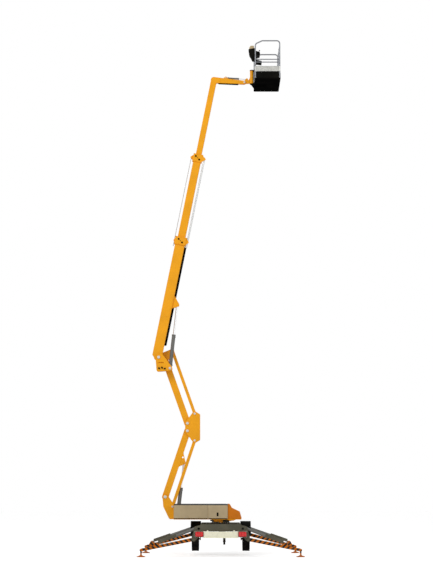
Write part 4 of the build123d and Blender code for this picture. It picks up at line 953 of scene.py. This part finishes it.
@dataclass
class WheelDetails:
    """Tread blocks, wheel nuts and hub caps of the two road wheels."""

    layout: Layout
    radius: float = 0.331
    half: float = 0.100
    blocks: int = 44
    block_outline: Profile = ((-0.036, -0.011), (-0.004, -0.004), (-0.004, 0.013), (-0.036, 0.006))
    block_levels: Pair = (-0.010, -0.0008)
    edge: float = 0.0015
    hub_depth: float = 0.022
    nuts: int = 5
    nut_circle: float = 0.046
    nut: HexBolt = HexBolt(0.014, 0.012, 0.009)
    cap_profile: Profile = (
        (0.032, -0.006), (0.032, 0.012), (0.029, 0.016), (0.027, 0.028), (0.018, 0.034), (0, 0.036)
    )

    def tread_block(self) -> Object:
        """The two slanting shoulder blocks of the tread, drawn with +X outwards.

        Returns:
            The shape, to be repeated.
        """
        form = Form("tread_shape")
        for side in (-1, 1):
            outline = [(side * (self.half + across), along) for across, along in self.block_outline]
            form.prism(outline[::side], self.block_levels, "zyx")
        form.bevel(self.edge, 1)
        return form.make(TYRE)

    def build(self) -> None:
        """Dresses both wheels."""
        for side, facing, corner in (("left", Facing.LEFT, 0), ("right", Facing.RIGHT, 1)):
            body = "wheel_" + side
            hub = self.layout.pivot(body + "_spin")
            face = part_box("rim_" + side)[corner].x
            tread = Repeater("tread_" + side, self.tread_block(), TYRE, body)
            tread.ring(tuple(hub), facing, self.radius, self.blocks)
            seat = Vector((face, hub.y, hub.z)) - Vector(facing.value) * self.hub_depth
            nuts = Repeater("wheel_nuts_" + side, self.nut.shape(), ZINC, body)
            nuts.ring(tuple(seat), facing, self.nut_circle, self.nuts)
            cap = Form("hub_cap_" + side)
            cap.lathe(self.cap_profile, Matrix.Translation(seat) @ facing.turn())
            cap.make(ZINC, body)


@dataclass
class HoodDetails:
    """One latch, and the foot seals, screws and louvres of the moulded covers."""

    latch_place: Pair = (-0.085, 1.107)
    latch_halves: Profile = ((0.026, 0.0525), (0.0117, 0.035))
    latch_depths: Profile = ((0.003, 0.004), (0.012, -0.002))
    latch_edge: float = 0.003
    seal_depth: float = 0.004
    seal_inset: float = 0.010
    seal_rise: Pair = (0.002, 0.018)
    seal_edge: float = 0.0015
    screw_radius: float = 0.018
    screw_size: float = 0.5
    screw_pitch: float = 0.22
    screw_inset: float = 0.05
    screw_rise: float = 0.04
    louvre_outline: Profile = ((-0.012, 0.0), (0.012, 0.0), (0.004, 0.014), (-0.002, 0.014))
    louvre_half: float = 0.11
    louvre_edge: float = 0.002
    louvre_start: Pair = (0.35, 0.14)
    louvre_pitch: Pair = (0.30, 0.04)
    louvre_grid: tuple[int, int] = (3, 5)

    def add_latch(self) -> None:
        """Turn latch on a near cover: a plate, and a handle on it."""
        (x, z), y = self.latch_place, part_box("near_hood_right")[0].y
        form = Form("hood_latch_right")
        for (half, rise), (out, back) in zip(self.latch_halves, self.latch_depths):
            form.block((x - half, y - out, z - rise), (x + half, y + back, z + rise))
        form.bevel(self.latch_edge)
        form.make(BLACK_PLASTIC, "near_hood_right")

    def add_foot(self, node: str, facing: Facing) -> None:
        """Rubber strip along the foot of a cover, and a row of screws above it.

        Args:
            node: The cover.
            facing: The way that its outer face looks.
        """
        low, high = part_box(node)
        face = low.y if facing is Facing.NEAR else high.y
        ends = sorted((face, face + facing.value[1] * self.seal_depth))
        start, end = low.x + self.seal_inset, high.x - self.seal_inset
        foot, top = (low.z + rise for rise in self.seal_rise)
        form = Form(node + "_seal")
        form.block((start, ends[0], foot), (end, ends[1], top))
        form.bevel(self.seal_edge, 1)
        form.make(BLACK_PLASTIC, node)
        count = max(3, round((high.x - low.x) / self.screw_pitch))
        room = high.x - low.x - 2 * self.screw_inset
        steps = [low.x + self.screw_inset + room * step / (count - 1) for step in range(count)]
        spots = [Spot((x, face, low.z + self.screw_rise), facing, self.screw_size) for x in steps]
        Repeater(node + "_screws", pin_cap(self.screw_radius), ZINC, node).scatter(spots)

    def add_louvres(self) -> None:
        """Slanting louvres in the far cover."""
        low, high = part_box("far_hood")
        form = Form("louvre_shape")
        form.prism(self.louvre_outline, (-self.louvre_half, self.louvre_half), "yzx")
        form.bevel(self.louvre_edge, 1)
        start_x, start_z = self.louvre_start
        pitch_x, pitch_z = self.louvre_pitch
        columns, rows = self.louvre_grid
        levels = [low.z + start_z + pitch_z * row for row in range(rows)]
        places = [low.x + start_x + pitch_x * column for column in range(columns)]
        spots = [Spot((x, high.y, z), Facing.FAR) for x in places for z in levels]
        Repeater("far_hood_louvres", form.make(HOOD), HOOD, "far_hood").scatter(spots)

    def build(self) -> None:
        """Dresses the three covers."""
        self.add_latch()
        for node in ("near_hood_left", "near_hood_right", "far_hood"):
            self.add_foot(node, Facing.FAR if node == "far_hood" else Facing.NEAR)
        self.add_louvres()


@dataclass
class TurntableDetails:
    """Bolts of the slewing ring."""

    radius: float = 0.262
    count: int = 24
    rise: float = 0.018
    bolt: HexBolt = HexBolt(0.024, 0.014, 0.016)

    def build(self) -> None:
        """Sets the bolts round the ring."""
        low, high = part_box("slew_pedestal")
        middle = (low + high) / 2
        bolts = Repeater("ring_bolts", self.bolt.shape(), ZINC, "chassis")
        seat = (middle.x, middle.y, low.z + self.rise)
        bolts.ring(seat, Facing.UP, self.radius, self.count)


@dataclass(frozen=True)
class Collar:
    """Thickened mouth of a boom section.

    Its end is measured along the boom from the boom pivot, and its middle above that line.
    """

    body: str
    end: float
    half: float
    middle: float
    length: float = 0.22


BASE_COLLAR = Collar("boom_base", 3.409, 0.117, 0.052)
MIDDLE_COLLAR = Collar("boom_middle", 5.802, 0.095, 0.047)


@dataclass
class BoomDetails:
    """Collar bolts and energy chain of the telescopic boom, and couplings on its post."""

    layout: Layout
    bolt: HexBolt = HexBolt(0.034, 0.018, 0.026)
    bolt_places: tuple[Point, ...] = ((0.07, 0.06, 1.0), (0.15, -0.05, 1.0), (0.11, 0.0, 0.45))
    chain_start: float = 0.40
    chain_gap: float = 0.05
    chain_side: float = 0.080
    chain_height: float = -0.131
    chain_pitch: float = 0.045
    link_plate: Profile = (
        (-0.018, -0.010), (0.018, -0.010), (0.024, -0.004),
        (0.024, 0.004), (0.018, 0.010), (-0.018, 0.010),
    )
    link_bar: Profile = ((-0.008, -0.010), (0.008, -0.010), (0.008, -0.006), (-0.008, -0.006))
    link_half: float = 0.012
    plate_half: float = 0.002
    coupling_profile: Profile = (
        (0.030, 0.0), (0.030, 0.022), (0.022, 0.026), (0.022, 0.05), (0.014, 0.056), (0.0, 0.056)
    )
    coupling_sides: int = 6
    coupling_size: float = 0.9
    coupling_places: Profile = ((0.10, 0.085), (0.18, 0.10), (0.26, 0.075))
    coupling_seat: float = 0.012

    def at(self, along: float, above: float, side: float) -> Point:
        """A point on the boom.

        Args:
            along: Distance from the boom pivot along the boom.
            above: Distance above that line.
            side: Distance across it, towards the far side.

        Returns:
            The point in the row frame.
        """
        pivot = self.layout.pivot("luff")
        ahead = self.layout.direction("telescope")
        up = Vector((-ahead.z, 0, ahead.x))
        return tuple(pivot + ahead * along + up * above + Vector((0, side, 0)))

    def add_collar_bolts(self) -> None:
        """Two big dark bolts and a small one on each side of each collar."""
        for collar in (BASE_COLLAR, MIDDLE_COLLAR):
            spots = []
            for facing in (Facing.NEAR, Facing.FAR):
                side = facing.value[1] * collar.half
                for back, above, size in self.bolt_places:
                    place = self.at(collar.end - back, collar.middle + above, side)
                    spots.append(Spot(place, facing, size))
            bolt = self.bolt.shape()
            Repeater("collar_bolts_" + collar.body, bolt, BLACK_PAINT, collar.body).scatter(spots)

    def add_chain(self) -> None:
        """Black energy chain that lies in the tray under the base section."""
        form = Form("link_shape")
        for side in (-self.link_half, self.link_half):
            form.prism(self.link_plate, (side - self.plate_half, side + self.plate_half), "xzy")
        form.prism(self.link_bar, (-self.link_half, self.link_half), "xzy")
        ends = (self.chain_start, BASE_COLLAR.end - BASE_COLLAR.length - self.chain_gap)
        path = [self.at(along, self.chain_height, self.chain_side) for along in ends]
        chain = Repeater("energy_chain", form.make(BLACK_PLASTIC), BLACK_PLASTIC, "boom_base")
        chain.follow(path, self.chain_pitch)

    def add_couplings(self) -> None:
        """Dark hydraulic couplings on the near face of the king post."""
        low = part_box("king_post")[0]
        form = Form("coupling_shape")
        form.lathe(self.coupling_profile, Matrix(), self.coupling_sides)
        spots = []
        for along, rise in self.coupling_places:
            place = (low.x + along, low.y + self.coupling_seat, low.z + rise)
            spots.append(Spot(place, Facing.NEAR, self.coupling_size))
        shape = form.make(BLACK_PLASTIC)
        Repeater("post_couplings", shape, BLACK_PLASTIC, "king_post").scatter(spots)

    def build(self) -> None:
        """Builds every boom fitting."""
        self.add_collar_bolts()
        self.add_chain()
        self.add_couplings()


@dataclass
class LegDetails:
    """Ribs on the foot pads of the four outriggers."""

    rib_outline: Profile = ((-0.034, 0.0), (0.040, 0.0), (0.036, 0.006), (-0.034, 0.030))
    rib_half: float = 0.004
    ribs: int = 8
    circle: float = 0.060
    pad_inset: float = 0.12
    pad_top: float = 0.016

    def build(self) -> None:
        """Dresses every outrigger."""
        for body in ("leg_rear_left", "leg_rear_right", "leg_front_left", "leg_front_right"):
            low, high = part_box(body)
            tip = low.x + self.pad_inset if body.endswith("left") else high.x - self.pad_inset
            form = Form("rib_shape")
            form.prism(self.rib_outline, (-self.rib_half, self.rib_half), "xzy")
            ribs = Repeater("pad_ribs_" + body, form.make(LEG_PAINT), LEG_PAINT, body)
            centre = (tip, (low.y + high.y) / 2, self.pad_top)
            ribs.ring(centre, Facing.UP, self.circle, self.ribs)


@dataclass
class LampDetails:
    """Bezels and screws of the lamp clusters at the machine's rear."""

    width: float = 0.226
    bezel: float = 0.012
    bezel_out: float = 0.003
    bezel_edge: float = 0.002
    windows: Pair = (0.36, 0.68)
    divider: tuple[float, float, float] = (0.002, 0.002, 0.010)
    screw_radius: float = 0.016
    screw_inset: float = 0.02
    screw_size: float = 0.3

    def build(self) -> None:
        """Dresses both lamp clusters."""
        low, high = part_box("lamps")
        face, edge, inset = low.y, self.bezel, self.screw_inset
        bezels = Form("lamp_bezels")
        screws = []
        for outer, inner in ((low.x, low.x + self.width), (high.x, high.x - self.width)):
            left, right = min(outer, inner), max(outer, inner)
            bars = (
                (left, low.z, right, low.z + edge),
                (left, high.z - edge, right, high.z),
                (left, low.z, left + edge, high.z),
                (right - edge, low.z, right, high.z),
            )
            for start, foot, end, top in bars:
                bezels.block((start, face - self.bezel_out, foot), (end, face + edge, top))
            half, out, back = self.divider
            for window in self.windows:
                x = left + (right - left) * window
                foot, top = low.z + edge, high.z - edge
                bezels.block((x - half, face - out, foot), (x + half, face + back, top))
            for x in (left + inset, right - inset):
                for z in (low.z + inset, high.z - inset):
                    place = (x, face - self.bezel_out, z)
                    screws.append(Spot(place, Facing.NEAR, self.screw_size))
        bezels.bevel(self.bezel_edge, 1)
        bezels.make(BLACK_PLASTIC, "chassis")
        Repeater("lamp_screws", pin_cap(self.screw_radius), ZINC, "chassis").scatter(screws)


@dataclass
class CageDetails:
    """Raised studs on the cage's floor, and the fittings of its control desk."""

    stud_outline: Profile = (
        (-0.015, 0.0), (-0.008, -0.0035), (0.008, -0.0035),
        (0.015, 0.0), (0.008, 0.0035), (-0.008, 0.0035),
    )
    stud_levels: Profile = ((1, -0.0005), (0.7, 0.0022))
    stud_turn: float = 45.0
    stud_pitch: float = 0.048
    stud_start: float = 0.07
    stud_margin: float = 0.10
    rail_half: float = 0.017
    desk_shift: float = 0.092
    desk_drop: float = 0.062
    desk_tilt: float = 32.0
    stick_side: float = 0.095
    stick_drop: float = 0.050
    gaiter_profile: Profile = (
        (0.034, 0.0), (0.036, 0.006), (0.028, 0.011), (0.032, 0.017),
        (0.022, 0.023), (0.026, 0.029), (0.014, 0.036), (0.0, 0.036),
    )
    stop_shift: float = 0.004
    stop_drop: float = 0.052
    stop_profile: Profile = (
        (0.012, -0.006), (0.012, 0.012), (0.022, 0.014), (0.024, 0.020), (0.016, 0.028), (0, 0.030)
    )

    def add_studs(self) -> None:
        """Raised studs of the anti-slip floor, in two slants by turns."""
        low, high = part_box("cage_floor")
        columns = int((high.x - low.x - self.stud_margin) / self.stud_pitch)
        rows = int((high.y - low.y - self.stud_margin) / self.stud_pitch)
        for parity, (name, sign) in enumerate((("floor_studs_a", 1), ("floor_studs_b", -1))):
            form = Form("stud_shape")
            form.taper(self.stud_outline, self.stud_levels)
            stud = form.make(BLACK_PAINT)
            turn = math.radians(sign * self.stud_turn)
            stud.data.transform(Matrix.Rotation(turn, 4, "Z"))
            x, y = low.x + self.stud_start, low.y + self.stud_start
            spots = [
                Spot((x + column * self.stud_pitch, y + row * self.stud_pitch, high.z), Facing.UP)
                for column in range(columns)
                for row in range(rows)
                if (column + row) % 2 == parity
            ]
            Repeater(name, stud, BLACK_PAINT, "cage").scatter(spots)

    def on_desk(self, place: Point) -> Matrix:
        """Frame at a point, tilted as the desk's top."""
        tilt = Matrix.Rotation(math.radians(self.desk_tilt), 4, "Y")
        return Matrix.Translation(place) @ tilt

    def add_desk_fittings(self) -> None:
        """Gaiters of the two sticks, and the stop button."""
        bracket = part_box("cage_bracket")
        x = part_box("cage_side_rails")[0].x + self.rail_half + self.desk_shift
        y = (bracket[0].y + bracket[1].y) / 2
        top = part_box("cage_console")[1].z - self.desk_drop
        gaiters = Form("stick_gaiters")
        for side in (-self.stick_side, self.stick_side):
            gaiters.lathe(self.gaiter_profile, self.on_desk((x, y + side, top - self.stick_drop)))
        gaiters.make(BLACK_PLASTIC, "cage")
        stop = Form("stop_button")
        place = (x + self.stop_shift, y, top - self.stop_drop)
        stop.lathe(self.stop_profile, self.on_desk(place))
        stop.make(RED_LENS, "cage")

    def build(self) -> None:
        """Builds every cage fitting."""
        self.add_studs()
        self.add_desk_fittings()


@dataclass
class PaintShop:
    """Dresses every solid of the frame."""

    nodes: dict[str, Object]
    record: dict

    def build(self) -> None:
        """Gives each solid its finish through its own slots."""
        slots = {entry["node"]: entry["material_slot"] for entry in self.record["subparts"]}
        for name, node in self.nodes.items():
            finish = SPECIAL.get(name, SLOTS[slots[name]])
            if not node.material_slots:
                node.data.materials.append(None)
            for slot in node.material_slots:
                slot.material = finish.material()
            log.info("dressed %s in %s", name, finish.name)


def main() -> None:
    """Builds the studio, the viewpoint and the machine's looks."""
    logging.basicConfig(level=logging.INFO, format="%(name)s: %(message)s")
    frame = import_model()
    bpy.context.scene.view_settings.view_transform = "Standard"
    Studio().build()
    Viewpoint().build()
    record = frame["record"]
    layout = Layout(record)
    PaintShop(frame["nodes"], record).build()
    PivotCaps(layout).build()
    WheelDetails(layout).build()
    HoodDetails().build()
    TurntableDetails().build()
    BoomDetails(layout).build()
    LegDetails().build()
    LampDetails().build()
    CageDetails().build()


if __name__ == "__main__":
    main()
